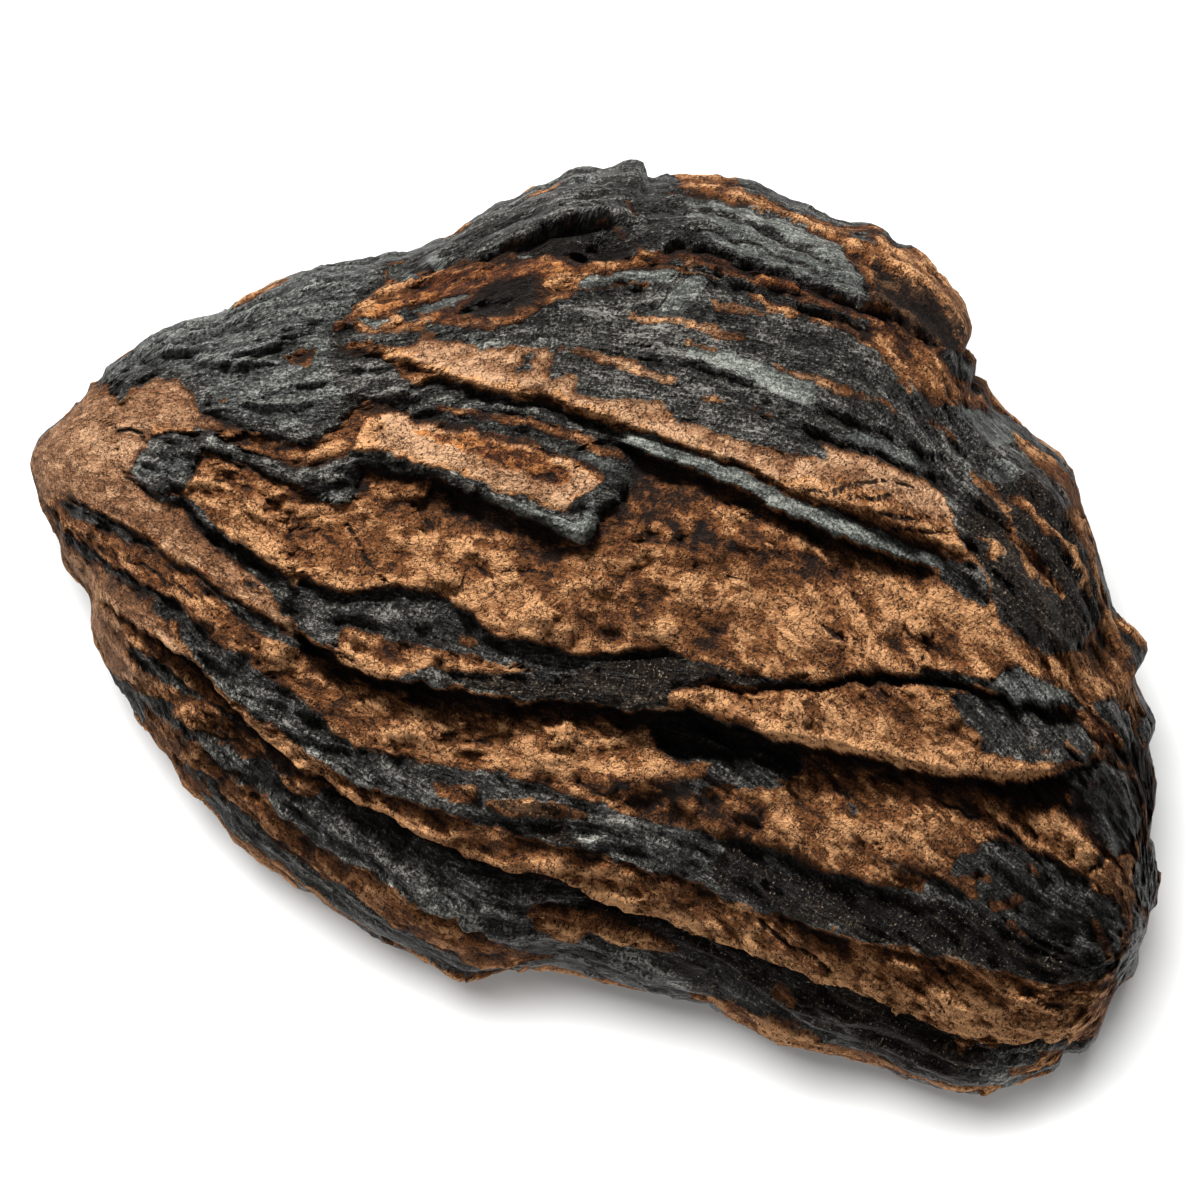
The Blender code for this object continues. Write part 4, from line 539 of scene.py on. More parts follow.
        170, -35, 176, -35, 180, -32.6, 184, -30.4, 188, -28.6, 191, -25, 193, -28, 189, -31, 186, -31.5,
        183, -33.5, 181, -36.5, 183, -37.5, 180, -41, 177, -43, 170, -45, 160, -45, 157, -43.4, 154, -43.4,
        150, -42.9, 146, -42.3, 140, -42.3, 135, -42.3, 131, -43.8, 126, -46, 121, -46, 116, -45.4, 110,
        -45.6, 103, -46, 97, -46.8, 92, -46.5, 85, -46, 80, -45.3, 74, -44.2, 68, -43.2, 63, -42, 58, -40.3,
        53, -38.8, 48, -37.2, 42, -35.4, 35, -33, 30, -32.3, 26, -30.8, 23, -28.9)),
    Mark(Stuff.CEMENT, (54.4, -34.6, 58, -33.2, 61, -33.6, 60, -35.2, 57.5, -35.8)),
    Mark(Stuff.DARK, (48, -31.2, 53, -31.6, 56, -32.6, 54, -34, 50, -33)),
    Mark(Stuff.CEMENT, (99, -39.5, 101, -38.7, 106, -38.2, 110, -37, 116, -37.8, 121, -37.5, 123, -38.5,
        119, -40, 113, -40.5, 109, -40.2, 107.5, -41.5, 104, -42.3, 100.5, -42, 98.8, -40.8)),
    Mark(Stuff.SILVER, (52, -37.4, 0.4, 60, -40.2, 0.5, 68, -42.6, 0.5, 75, -43.8, 0.35, 80, -44.8,
        0.3), True),
    Mark(Stuff.SILVER, (81, -43.2, 84, -42, 88, -42.4, 92, -44, 90, -45.6, 84, -45.4)),
    Mark(Stuff.FLECK, (104, -36, 116, -36, 130, -35.8, 146, -36, 160, -35.8, 174, -36, 176, -38, 172, -41.6,
        160, -42, 150, -40.6, 138, -40.4, 126, -38.6, 116, -37.4)),
    Mark(Stuff.FLECK, (118, -41, 124, -39.6, 130, -39.6, 133, -41.4, 128, -43, 122, -44)),
    Mark(Stuff.SILVER, (112, -41.2, 0.5, 118, -41.8, 0.9, 124, -42.4, 0.9, 129, -43, 0.4), True),
    Mark(Stuff.CEMENT, (131, -43.7, 136, -42.6, 142, -42.4, 150, -43.2, 155, -43.3, 154, -46, 145, -47, 136,
        -46)),
    Mark(Stuff.CEMENT, (170.5, -36.8, 172, -35.8, 173, -36, 171.8, -37.4)),
    Mark(Stuff.CEMENT, (140.4, -38.4, 0.4, 143, -38.8, 0.5), True),
    Mark(Stuff.SILVER, (176, -36, 180, -34.5, 183, -31.8, 184.4, -32.5, 181, -36, 184, -37.3, 179, -43,
        176.5, -40)),
    Mark(Stuff.RUST, (181, -36.4, 184, -33, 188, -30.6, 189, -33.2, 185, -36.6)),
    Mark(Stuff.ENAMEL, (33, -35.2, 38, -36.8, 43, -38.4, 45.5, -39.2, 47, -41, 50, -41.2, 53, -42, 58, -44,
        64, -46, 70, -47.3, 75, -49, 80, -50.5, 88, -50.5, 95, -51.4, 98, -50.4, 103, -48.4, 108, -47, 112,
        -46.9, 112, -51, 104, -54, 96, -57, 80, -57, 60, -53, 48, -49, 46, -43.4, 44, -40.8, 40, -39, 36,
        -37.2)),
    Mark(Stuff.ENAMEL, (116.4, -45.6, 0.3, 118, -46, 0.5, 121, -45.8, 0.3), True),
)

# Soft stains of the showing side: a, h, half length, half height, and how much lighter or darker.
# The darkest few are painted shadow in hollows, as noted below.
STAINS = (
    # tip, crust of the upper left and the ridge
    (8, 3, 9, 5, 0.2), (16, 15, 6, 2.5, -0.12), (44, 1, 5, 2, -0.12), (28, 7, 3, 4, 0.15),
    (22, 30, 15, 9, 0.2), (35, 23, 12, 6, 0.1), (43, 42, 7, 6, 0.15), (56, 62, 9, 5, 0.2),
    # (71, 62.6) and (66, 60.6) are painted shadow under the ridge's broken end, (58, 49) and (62, 52)
    # painted shade in a hollow of the crust.
    (66, 73, 9, 4, 0.2), (71, 62.6, 6, 2.4, -1), (58, 49, 5, 4, -0.4), (66, 60.6, 6, 1.4, -0.7),
    (62, 52, 5, 3, -0.4),
    # top plates, dark slab and the brown band under it
    (98, 76.4, 12, 0.9, 0.3), (86, 78, 9, 1.4, 0.2), (122, 78, 7, 2, 0.25), (95, 67, 16, 1.4, -0.3),
    (80, 70, 5, 4, -0.25), (98, 70.6, 14, 0.8, -0.2), (82, 46.4, 6, 1, 0.4), (98, 47, 3, 1, 0.4),
    (80, 53, 16, 4, 0.25), (100, 53, 14, 3, 0.4), (110, 58.5, 16, 2, -0.3), (90, 44, 18, 2.5, 0.35),
    (112, 45, 8, 2, 0.2), (88, 49.5, 12, 1, -0.3), (123, 63, 6, 3, 0.3), (111, 65, 3, 1.6, 0.3),
    (101, 64, 4, 1.6, 0.3), (60, 38, 11, 2.5, 0.15), (90, 41, 6, 2, 0.15), (104, 40, 9, 2.5, 0.15),
    (130, 45.5, 10, 2, 0.15), (129, 39.5, 9, 2.4, -0.2), (142, 40, 4, 3, 0.15), (155, 39, 9, 8, 0.15),
    (120, -30, 60, 10, 0.08), (105, -26, 5, 1.4, 0.35), (120, -42, 9, 1.4, 0.3),
    # slab with the broken end and the wide bulge
    (68, 27.2, 12, 1.2, -0.4), (70, 23.4, 14, 2, -0.1), (87.6, 26, 3, 4, -0.3), (50, 24, 3, 4, -0.15),
    (66, 15.3, 10, 2.2, -0.2), (80, 14.4, 8, 3.4, -0.2), (60, 9.6, 8, 4, 0.3), (73, 9, 6, 3.5, 0.3),
    (94, 29.4, 8, 5, -0.45), (92, 16, 6, 4, 0.12), (96, 8, 9, 4, -0.12), (53, 2.6, 7, 3, -0.05),
    (112, 27, 14, 2.4, -0.5), (106, 24, 9, 2.6, -0.3), (113, 31, 9, 1.4, 0.15), (112, 17.6, 12, 3, 0.25),
    (118, 15, 7, 1, -0.25), (130, 23, 8, 6, 0.25), (126, 9, 14, 1.4, -0.2), (145, 28, 9, 4, 0.3),
    (160, 26.5, 8, 1.6, 0.35), (170, 29, 5, 4, 0.15), (150, 23.6, 6, 1.6, -0.1), (133, 20, 7, 1.4, -0.15),
    # tongue, hollow and what lies right of them
    (143, 7.6, 11, 2, 0.25), (143, 12.5, 7, 1.8, -0.25), (116, 1.4, 9, 2, -0.2), (158, 6, 9, 1.3, -0.15),
    # (118, -4) is painted shade in the hollow under the lens.
    (150, 13, 4, 1.6, 0.15), (118, -4, 14, 4, -0.4), (172, 6.4, 5, 3, -0.4), (175, 1, 7, 2.4, 0.4),
    (185, -1, 4, 3, 0.25), (157, 0.6, 9, 1.8, -0.45), (153, -8.4, 7, 2.6, 0.3), (176, 26.4, 5, 1.6, 0.25),
    (178, 9, 6, 6, -0.5), (163, 15, 8, 3, -0.15), (185, 13, 4, 6, -0.2),
    # bands of the lower half
    (103, -12, 6, 3, 0.15), (106, -16.4, 5, 2, -0.5), (117, -13, 4, 2.4, -0.45), (127, -13.6, 2.4, 2, -0.5),
    (130, -11, 6, 2, 0.25), (122, -14, 2, 2, -0.25), (142, -13.6, 10, 1.2, 0.2), (111, -22, 9, 2, 0.4),
    (138, -21, 18, 4, -0.25), (172, -12, 14, 7, -0.15), (130, -30, 10, 2.6, 0.15),
    (141, -27.4, 6, 1.4, -0.2), (114, -30, 10, 1.4, -0.12), (110, -32.4, 9, 1.6, 0.12),
    (120, -36.5, 24, 2.4, -0.2), (92, -43, 10, 2, 0.2), (103, -40.5, 5, 2, 0.15), (172, -30, 14, 6, 0.25),
    (60, -27, 12, 2, 0.15), (45, -22, 22, 9, -0.05), (60, -7, 12, 4, -0.2),
)

# Thin cracks in the cement: a, h and half width along each.
CRACKS = (
    (50, 7.4, 0.2, 53, 5, 0.25, 57, 2.4, 0.25, 60, 0.6, 0.2),
    (71, 8.6, 0.15, 73.4, 7.6, 0.35, 75, 7.8, 0.3, 77, 9.6, 0.3, 79, 11, 0.15),
    (100, 24, 0.15, 103, 23, 0.3, 104.6, 20.4, 0.3, 107, 20.4, 0.2, 110, 21, 0.2, 116, 20.8, 0.15),
    (91, 20, 0.15, 95, 21.6, 0.25, 98, 22.8, 0.15),
    (126, 19.2, 0.2, 130, 18.8, 0.3, 135, 19.4, 0.15),
    (139.4, 22.8, 0.2, 142, 22.6, 0.35, 144, 24.2, 0.25),
    (143.4, 22, 0.2, 143, 19.6, 0.3, 141.6, 18.4, 0.2),
    (121.6, 3.4, 0.2, 121.2, 2, 0.3, 122, 1.2, 0.2),
    (134.4, -27.4, 0.2, 136, -28.6, 0.35, 140, -29.6, 0.3, 144, -30, 0.25, 147.6, -31.2, 0.3, 147, -33.4,
        0.35),
    (147.6, -24.8, 0.2, 148.4, -27, 0.3, 147.8, -29, 0.2),
    (5, 8.8, 0.1, 9, 8.4, 0.15, 13, 9.4, 0.3, 15, 8.2, 0.2),
    (11, 6.4, 0.2, 13, 4.2, 0.2, 14.6, 2.6, 0.15, 18, 0.6, 0.3),
    (19.6, -9.4, 0.2, 19.2, -10.6, 0.2, 24, -11, 0.2, 29, -12, 0.2, 33, -11, 0.25),
    (181.6, 2.4, 0.3, 181.3, -0.2, 0.35, 180, -1.8, 0.3),
    (152, 0, 0.2, 155, -1.2, 0.3, 159, -1.2, 0.25, 163, -0.2, 0.2),
    (164, -0.6, 0.2, 168, -2, 0.3, 173, -3, 0.3, 178, -2.8, 0.2),
    (162.6, -24.6, 0.15, 166.6, -27.6, 0.25, 166.4, -30.4, 0.25, 163.6, -31.6, 0.2),
    (117, 38.4, 0.2, 121, 40, 0.4, 125, 42.6, 0.2),
    (121, 38, 0.2, 126, 40.4, 0.45, 131, 43.4, 0.2),
    (126, 38, 0.2, 131, 39.6, 0.4, 137, 42, 0.2),
    (131, 37.6, 0.2, 136, 39, 0.35, 141, 40.2, 0.2),
    (123, 42, 0.2, 128, 44.4, 0.3, 133, 45.8, 0.2),
    (78, -20, 0.2, 80, -18.6, 0.3, 82.6, -17.4, 0.2, 84, -18.4, 0.2),
    (99, -17.6, 0.2, 103, -18.4, 0.3, 107, -17.4, 0.2),
    (63, -16.6, 0.2, 61.6, -18.4, 0.2),
    (48.6, 25.4, 0.2, 50.4, 22.6, 0.25, 51.4, 20.8, 0.2),
)


def scattered(cell: Array, seed: int) -> Array:
    """A fixed value from 0 to 1 for each cell of a lattice, which differs by seed."""
    a, b, c = HASH_FACTORS
    n = (cell[:, 0] + 57 * seed) * a ^ cell[:, 1] * b ^ cell[:, 2] * c
    n = ((n ^ (n >> 13)) * HASH_MIX) & 0x7FFFFFFF
    return ((n ^ (n >> 16)) & 0xFFFF) / 65535


def lattice(p: Array, scale: float, seed: int) -> Array:
    """Smooth lattice noise.

    Args:
        p: Points, one row each, in millimetres.
        scale: Size of the lumps in millimetres.
        seed: Which of the patterns to read.

    Returns:
        A value from -1 to 1 for each point.
    """
    q = p / scale + seed * PATTERN_STEP
    cell = np.floor(q).astype(np.int64)
    f = q - cell
    f = f * f * (3 - 2 * f)
    total = np.zeros(len(p))
    for corner in range(8):
        pick = np.array([corner & 1, corner >> 1 & 1, corner >> 2])
        total += np.prod(np.where(pick, f, 1 - f), axis=1) * (2 * scattered(cell + pick, 0) - 1)
    return total


def layered(p: Array, layers: tuple[Layer, ...], start: Array | float = 0.0) -> Array:
    """Layers of noise added up.

    Args:
        p: Points, one row each, in millimetres.
        layers: What is added.
        start: What it is added to.

    Returns:
        The sum for each point.
    """
    total = start
    for layer in layers:
        total = total + layer.strength * lattice(p * (layer.along, 1, 1), layer.size, layer.seed)
    return total


def ridged(p: Array, crest: float, scale: float, seed: int) -> Array:
    """Sharp ridges, as high as crest on their lines and falling by up to 1 between them."""
    return crest - np.abs(lattice(p, scale, seed))


def chipped(p: Array, scale: float, seed: int) -> Array:
    """Broken faces, each with its own tilt, that meet at sharp edges.

    Args:
        p: Points, one row each, in millimetres.
        scale: Size of the faces in millimetres.
        seed: Which of the patterns to read.

    Returns:
        A height of about -1 to 1 for each point.
    """
    q = p / scale + seed * PATTERN_STEP
    cell = np.floor(q - 0.5).astype(np.int64)
    best = np.full(len(p), FAR)
    height = np.zeros(len(p))
    for corner in range(8):
        n = cell + np.array([corner & 1, corner >> 1 & 1, corner >> 2])
        gap = q - n - np.stack([scattered(n, k) for k in (1, 2, 3)], axis=1)
        away = (gap * gap).sum(axis=1)
        tilt = 2 * np.stack([scattered(n, k) for k in (4, 5, 6)], axis=1) - 1
        face = (gap * tilt).sum(axis=1) + scattered(n, 7) - 0.5
        height = np.where(away < best, face, height)
        best = np.minimum(best, away)
    return height


def ramp(x: Array) -> Array:
    """Smooth step from 0 at x = 0 to 1 at x = 1."""
    x = np.clip(x, 0, 1)
    return x * x * (3 - 2 * x)


def nearby(a: Array, h: Array, path: Array, reach: float) -> Array:
    """Numbers of the places in a box around a path, which is made wider by so many millimetres."""
    low, high = path.min(axis=0) - reach, path.max(axis=0) + reach
    return np.flatnonzero((a > low[0]) & (a < high[0]) & (h > low[1]) & (h < high[1]))


def nearest(x: Array, y: Array, start: Array, end: Array) -> tuple[Array, Array]:
    """Where each place is nearest to a stretch, 0 at its start and 1 at its end, and how far from it."""
    (x0, y0), (dx, dy) = start, end - start
    t = np.clip(((x - x0) * dx + (y - y0) * dy) / (dx * dx + dy * dy + TINY), 0, 1)
    return t, np.hypot(x - x0 - t * dx, y - y0 - t * dy)


def into(a: Array, h: Array, outline: Array) -> Array:
    """Distance into a closed outline.

    Args:
        a: Places along the plates.
        h: Places across the plates.
        outline: Corners of the outline, one row each.

    Returns:
        Millimetres inside the outline, negative outside it, and -NEAR where it is far away.
    """
    found = np.full(len(a), -NEAR)
    close = nearby(a, h, outline, NEAR)
    if not len(close):
        return found
    x, y = a[close], h[close]
    best = np.full(len(close), FAR)
    odd = np.zeros(len(close), bool)
    for start, end in zip(outline, np.roll(outline, -1, axis=0)):
        best = np.minimum(best, nearest(x, y, start, end)[1])
        (x0, y0), (x1, y1) = start, end
        if y0 != y1:
            odd ^= ((y0 > y) != (y1 > y)) & (x < x0 + (y - y0) * (x1 - x0) / (y1 - y0))
    found[close] = np.where(odd, best, -best)
    return found


def beside(a: Array, h: Array, line: Array) -> Array:
    """Distance into a strip of varying width.

    Args:
        a: Places along the plates.
        h: Places across the plates.
        line: Rows of a, h and half width along the strip.

    Returns:
        Millimetres inside the strip's edge, negative outside it, and -NEAR where it is far away.
    """
    found = np.full(len(a), -NEAR)
    close = nearby(a, h, line, NEAR + line[:, 2].max())
    if not len(close):
        return found
    x, y = a[close], h[close]
    best = np.full(len(close), -FAR)
    for start, end in zip(line[:-1], line[1:]):
        t, gap = nearest(x, y, start[:2], end[:2])
        best = np.maximum(best, start[2] + (end[2] - start[2]) * t - gap)
    found[close] = best
    return found


def shelf(a: Array, h: Array, spec: tuple) -> Array:
    """Height of one ledge.

    Args:
        a: Places along the plates.
        h: Places across the plates.
        spec: Lift above the edge and its fade, drop below it and its fade, then the edge's path.

    Returns:
        Millimetres added at each place.
    """
    lift, up, drop, down, path = spec
    pa, ph = np.array(path, float).reshape(-1, 2).T
    edge = np.interp(a, pa, ph)
    slope = (np.interp(a + 1, pa, ph) - np.interp(a - 1, pa, ph)) / 2
    d = (h - edge) / np.sqrt(1 + slope * slope)
    fade = ramp((a - pa[0]) / LEDGE_FADE) * ramp((pa[-1] - a) / LEDGE_FADE)
    over = ramp(d / LEDGE_EDGE + 0.5)
    high = lift * np.exp(-np.maximum(d, 0) / up)
    low = drop * np.exp(np.minimum(d, 0) / down)
    return fade * (over * high - (1 - over) * low)


def blurred(table: Array, rings: int, lines: int) -> Array:
    """The mean of a grid of values over a window, which wraps around the tooth.

    Args:
        table: Values by ring and line.
        rings: Half the window along the tooth.
        lines: Half the window around it.

    Returns:
        The softened grid.
    """
    tall = np.pad(table, ((rings, rings), (0, 0)), "edge")
    tall = np.cumsum(np.vstack([np.zeros((1, tall.shape[1])), tall]), axis=0)
    out = (tall[2 * rings + 1 :] - tall[: -2 * rings - 1]) / (2 * rings + 1)
    wide = np.pad(out, ((0, 0), (lines, lines)), "wrap")
    wide = np.cumsum(np.hstack([np.zeros((len(wide), 1)), wide]), axis=1)
    return (wide[:, 2 * lines + 1 :] - wide[:, : -2 * lines - 1]) / (2 * lines + 1)


@dataclass(frozen=True)
class Pose:
    """How the showing side is turned in the resting pose, in degrees and millimetres."""

    roll: float = 20.95
    elevation: float = 60.0
    azimuth: float = 24.0
    centre: tuple[float, float] = (-89.6, 23.2)
    reach: float = 1500.0
    shift: tuple[float, float, float] = (2.387, 6.565, -38.903)

    def axes(self) -> tuple[Vector, Vector, Vector]:
        """Right, up and outward directions of the showing side in the row frame."""
        e, z = math.radians(self.elevation), math.radians(self.azimuth)
        right = Vector((math.cos(z), math.sin(z), 0))
        out = Vector((math.sin(z) * math.cos(e), -math.cos(z) * math.cos(e), math.sin(e)))
        return right, out.cross(right), out

    def to_row(self, a: Array, h: Array, r: Array) -> Array:
        """Turns places of the showing side to the row frame.

        Args:
            a: Along the plates.
            h: Across the plates.
            r: Out of the showing side.

        Returns:
            Points in metres, one row each.
        """
        c, s = math.cos(math.radians(self.roll)), math.sin(math.radians(self.roll))
        near = 1 - r / self.reach
        p = (a * c + h * s + self.centre[0]) * near
        q = (h * c - a * s + self.centre[1]) * near
        right, up, out = (np.array(x) for x in self.axes())
        points = np.outer(p, right) + np.outer(q, up) + np.outer(r, out)
        return (points - np.array(self.shift)) / 1000

    def origin(self) -> Vector:
        """The middle of the showing side, where its right, up and outward places are 0."""
        return -Vector(self.shift) / 1000


@dataclass
class Surface:
    """The tooth's surface, worked out in millimetres on a grid of rings and lines.

    The first fields are counts: lines around the tooth and those of them in front, rings along it, steps of
    a rim, steps over which a rim is softened, and steps around the front at which its steepness is read.
    """

    around: int = 384
    front_lines: int = 296
    along: int = 260
    fine: int = 400
    soft: int = 41
    steps: int = 721
    front_depth: float = 40.0
    back_depth: float = 47.0
    side_power: float = 0.85
    rim_power: int = 10
    tip_power: float = 2.3
    end_power: float = 2.8
    full_power: float = 0.6
    keel: float = 0.25
    slope: float = 0.2065
    tilt: float = 0.2
    middle: float = 97.0
    bunch: float = 45.0
    bunch_most: float = 1.6
    front_reach: float = 0.14
    front_fade: float = 0.08
    hidden_ledges: int = 8
    hidden_first: float = -0.87
    hidden_step: float = 0.235

    def __post_init__(self) -> None:
        """Works out the rims and the ledges of the hidden side."""
        self.upper = self.rim(UPPER)
        self.lower = self.rim(LOWER)
        self.hidden = []
        for k in range(self.hidden_ledges):
            drop = 2.6 + 0.9 * math.sin(2.4 * k)
            self.hidden.append((1.3, 5, drop, 4, self.layer(k, self.hidden_first + self.hidden_step * k)))

    def rim(self, flat: tuple[float, ...]) -> tuple[Array, Array]:
        """The rim at equal steps.

        Args:
            flat: Its outline as a, h, a, h, ...

        Returns:
            The rim as given, and softened.
        """
        p = np.array(flat, float).reshape(-1, 2)
        s = np.concatenate([[0], np.cumsum(np.hypot(*np.diff(p, axis=0).T))])
        v = np.linspace(0, s[-1], self.fine)
        exact = np.stack([np.interp(v, s, p[:, k]) for k in (0, 1)], axis=1)
        half = self.soft // 2
        before = 2 * exact[0] - exact[half:0:-1]
        after = 2 * exact[-1] - exact[-2 : -half - 2 : -1]
        long = np.concatenate([before, exact, after])
        kernel = np.hanning(self.soft + 2)[1:-1]
        kernel /= kernel.sum()
        soft = np.stack([np.convolve(long[:, k], kernel, "valid") for k in (0, 1)], axis=1)
        return exact, soft

    def layer(self, k: int, share: float) -> tuple[float, ...]:
        """A wavy line of the hidden side that runs between the softened rims.

        Args:
            k: Which line, for its waves.
            share: Its place, -1 at the lower rim and 1 at the upper.

        Returns:
            a, h, a, h, ...
        """
        upper, lower = self.upper[1], self.lower[1]
        line = []
        for i in range(14, self.fine - 12, 16):
            wave = 0.035 * math.sin(i / 23 + 1.7 * k) + 0.02 * math.sin(i / 9 + k)
            point = lower[i] + (upper[i] - lower[i]) * (share + wave + 1) / 2
            line.extend((float(point[0]), float(point[1])))
        return tuple(line)

    def span(self, v: Array) -> tuple[Array, Array]:
        """The tooth's extent across the plates, between its softened rims.

        Args:
            v: 0 at the tip and 1 at the broad end.

        Returns:
            Its middle and its half width at each v.
        """
        at, index = v * (self.fine - 1), np.arange(self.fine)
        top = np.interp(at, index, self.upper[1][:, 1])
        bottom = np.interp(at, index, self.lower[1][:, 1])
        return (top + bottom) / 2, (top - bottom) / 2

    def body(self, v: Array, theta: Array) -> tuple[Array, ...]:
        """The smooth body.

        Args:
            v: 0 at the tip and 1 at the broad end.
            theta: Turn around the tooth, 0 at the upper rim with the showing side first.

        Returns:
            a, h and r of each point.
        """
        at = v * (self.fine - 1)
        index = np.arange(self.fine)

        def pick(table: Array, k: int) -> Array:
            """Reads column k of a rim."""
            return np.interp(at, index, table[:, k])

        c, s = np.cos(theta), np.sin(theta)
        top, bottom = np.maximum(c, 0) ** self.rim_power, np.maximum(-c, 0) ** self.rim_power
        out = []
        for k in (0, 1):
            us, ls = pick(self.upper[1], k), pick(self.lower[1], k)
            place = (us + ls) / 2 + (us - ls) / 2 * c
            place += top * (pick(self.upper[0], k) - us) + bottom * (pick(self.lower[0], k) - ls)
            out.append(place)
        a, h = out
        middle, _ = self.span(v)
        x = 2 * v - 1
        full = (1 - np.abs(x) ** np.where(x < 0, self.tip_power, self.end_power)).clip(0) ** self.full_power
        depth = np.abs(s) ** self.side_power * full
        depth = np.where(s >= 0, self.front_depth * depth, -self.back_depth * depth * (1 + self.keel * c))
        r = self.slope * (a - self.middle) - self.tilt * (h - middle) + depth
        return a, h, r

    def warped(self, p: Array) -> tuple[Array, Array]:
        """The places at which ledges and marks are read, so that their edges wander.

        Args:
            p: Rows of a, h and r.

        Returns:
            a and h, moved.
        """
        return layered(p, WANDER_ALONG, p[:, 0]), layered(p, WANDER_ACROSS, p[:, 1])

    def front(self, p: Array, theta: Array) -> Array:
        """How much of each point is on the showing side, which ends raggedly behind the rim, from 0 to 1."""
        return ramp((layered(p, FRONT_EDGE, self.front_reach) + np.sin(theta)) / self.front_fade)

    def unrolled(self, v: Array, theta: Array) -> Array:
        """Places across the plates, those of the hidden side as if it lay flat.

        Args:
            v: 0 at the tip and 1 at the broad end.
            theta: Turn around the tooth.

        Returns:
            h of each point, in millimetres.
        """
        middle, half = self.span(v)
        return middle + half * np.where(np.sin(theta) < 0, 2 * theta / math.pi - 3, np.cos(theta))

    def relief(self, p: Array, front: Array) -> Array:
        """Height of the ledges, plates and hollows over the smooth body.

        Args:
            p: Rows of a, h and r.
            front: How much of each point is on the showing side.

        Returns:
            Millimetres out of the body.
        """
        aw, hw = self.warped(p)
        shown = np.zeros(len(p))
        for spec in LEDGES:
            shown += shelf(aw, hw, spec) * (1 + 0.35 * lattice(p, 17, 5))
        for height, soft, outline in PATCHES:
            shown += height * ramp(into(aw, hw, np.array(outline, float).reshape(-1, 2)) / soft)
        for height, width, line in FINGERS:
            path = np.array(line, float).reshape(-1, 2)
            path = np.column_stack([path, np.full(len(path), width)])
            d = np.clip(1 - beside(aw, hw, path) / width, 0, 1)
            shown += height * np.sqrt(1 - d * d)
        behind = np.zeros(len(p))
        for spec in self.hidden:
            behind += shelf(aw, hw, spec) * (1 + 0.5 * lattice(p, 21, 6))
        return front * shown + (1 - front) * behind + layered(p, ROUGHNESS)

    def grid(self) -> tuple[Array, Array]:
        """The grid, its lines drawn together where the relief is steep.

        Returns:
            v and theta of each point, by ring and line.
        """
        v = np.linspace(0, 1, self.along + 1)
        dense = np.linspace(0, math.pi, self.steps)
        vv, tt = (x.ravel() for x in np.meshgrid(v, dense, indexing="ij"))
        p = np.stack(self.body(vv, tt), axis=1)
        height = self.relief(p, np.ones(len(p))).reshape(len(v), len(dense))
        steep = np.abs(np.gradient(height, axis=1)) / dense[1]
        weight = 1 + np.clip(steep / self.bunch, 0, self.bunch_most)
        weight = blurred(np.hstack([weight, weight[:, ::-1]]), 4, 4)[:, : len(dense)]
        theta = np.zeros((len(v), self.around))
        for i, row in enumerate(weight):
            total = np.concatenate([[0], np.cumsum((row[1:] + row[:-1]) / 2)])
            lines = np.linspace(0, total[-1], self.front_lines + 1)
            theta[i, : self.front_lines + 1] = np.interp(lines, total, dense)
            rest = np.linspace(math.pi, 2 * math.pi, self.around - self.front_lines + 1)
            theta[i, self.front_lines :] = rest[:-1]
        return np.repeat(v[:, None], self.around, axis=1), theta


def linear(colour: tuple[int, int, int]) -> tuple[float, float, float, float]:
    """An 8-bit display colour as the light values that shaders take."""
    parts = (c / 255 for c in colour)
    made = [x / 12.92 if x <= 0.04045 else ((x + 0.055) / 1.055) ** 2.4 for x in parts]
    return (*made, 1.0)


# How strongly each cloud counts in the tone of the two families, and in their height in millimetres.
# The tone reads the same clouds as the height, so raised grains are painted lighter and lower ones darker:
# painted shade and highlight. hollow in the tone is painted shade in the hollows and a painted highlight on
# the crests.
CEMENT_TONE = {"mottle": 1.0, "fibre": 0.7, "hollow": -0.5, "grit": 0.95, "flake": 0.6}
ENAMEL_TONE = {"grit": 2.1, "fibre": 1.4, "mottle": 0.5, "torn": 0.3, "hollow": -0.3, "flake": 0.4}
CEMENT_HEIGHT = {"torn": 3.2, "fibre": 0.8, "grit": 1.3, "flake": 2.0}
ENAMEL_HEIGHT = {"torn": 2.2, "grit": 1.7, "fibre": 2.0, "flake": 1.8}

CEMENT_ROUGHNESS = 0.85
ENAMEL_ROUGHNESS = 0.3
SPECULAR = 0.14
BUMP_DISTANCE = 0.001  # metres, because the heights are in millimetres


@dataclass(frozen=True)
class Pits:
    """Pits of one family: their reach and soft edge in spacings of the pores, darkness, and depth in mm."""

    reach: float
    soft: float
    dark: float
    deep: float


CEMENT_PITS = Pits(reach=0.58, soft=0.1, dark=0.85, deep=0.4)
ENAMEL_PITS = Pits(reach=0.36, soft=0.14, dark=0.75, deep=0.35)


@dataclass(frozen=True)
class Finish:
    """Display colours of one stuff, from its shaded grains to its lit ones."""

    dark: tuple[int, int, int]
    middle: tuple[int, int, int]
    light: tuple[int, int, int]


FINISHES = {
    Stuff.CEMENT: Finish((32, 17, 8), (118, 72, 37), (206, 152, 104)),
    Stuff.TAN: Finish((54, 33, 19), (132, 90, 59), (200, 156, 118)),
    Stuff.RUST: Finish((18, 9, 4), (88, 47, 22), (186, 122, 68)),
    Stuff.DARK: Finish((12, 7, 4), (40, 24, 15), (104, 74, 48)),
    Stuff.ENAMEL: Finish((14, 13, 11), (55, 53, 49), (152, 149, 142)),
    Stuff.PLATE: Finish((24, 24, 23), (84, 85, 81), (164, 165, 158)),
    Stuff.BLUE: Finish((28, 28, 26), (70, 72, 68), (138, 140, 132)),
    Stuff.SILVER: Finish((20, 20, 18), (78, 78, 74), (188, 185, 174)),
    Stuff.FLECK: Finish((9, 6, 5), (29, 22, 17), (76, 64, 52)),
}


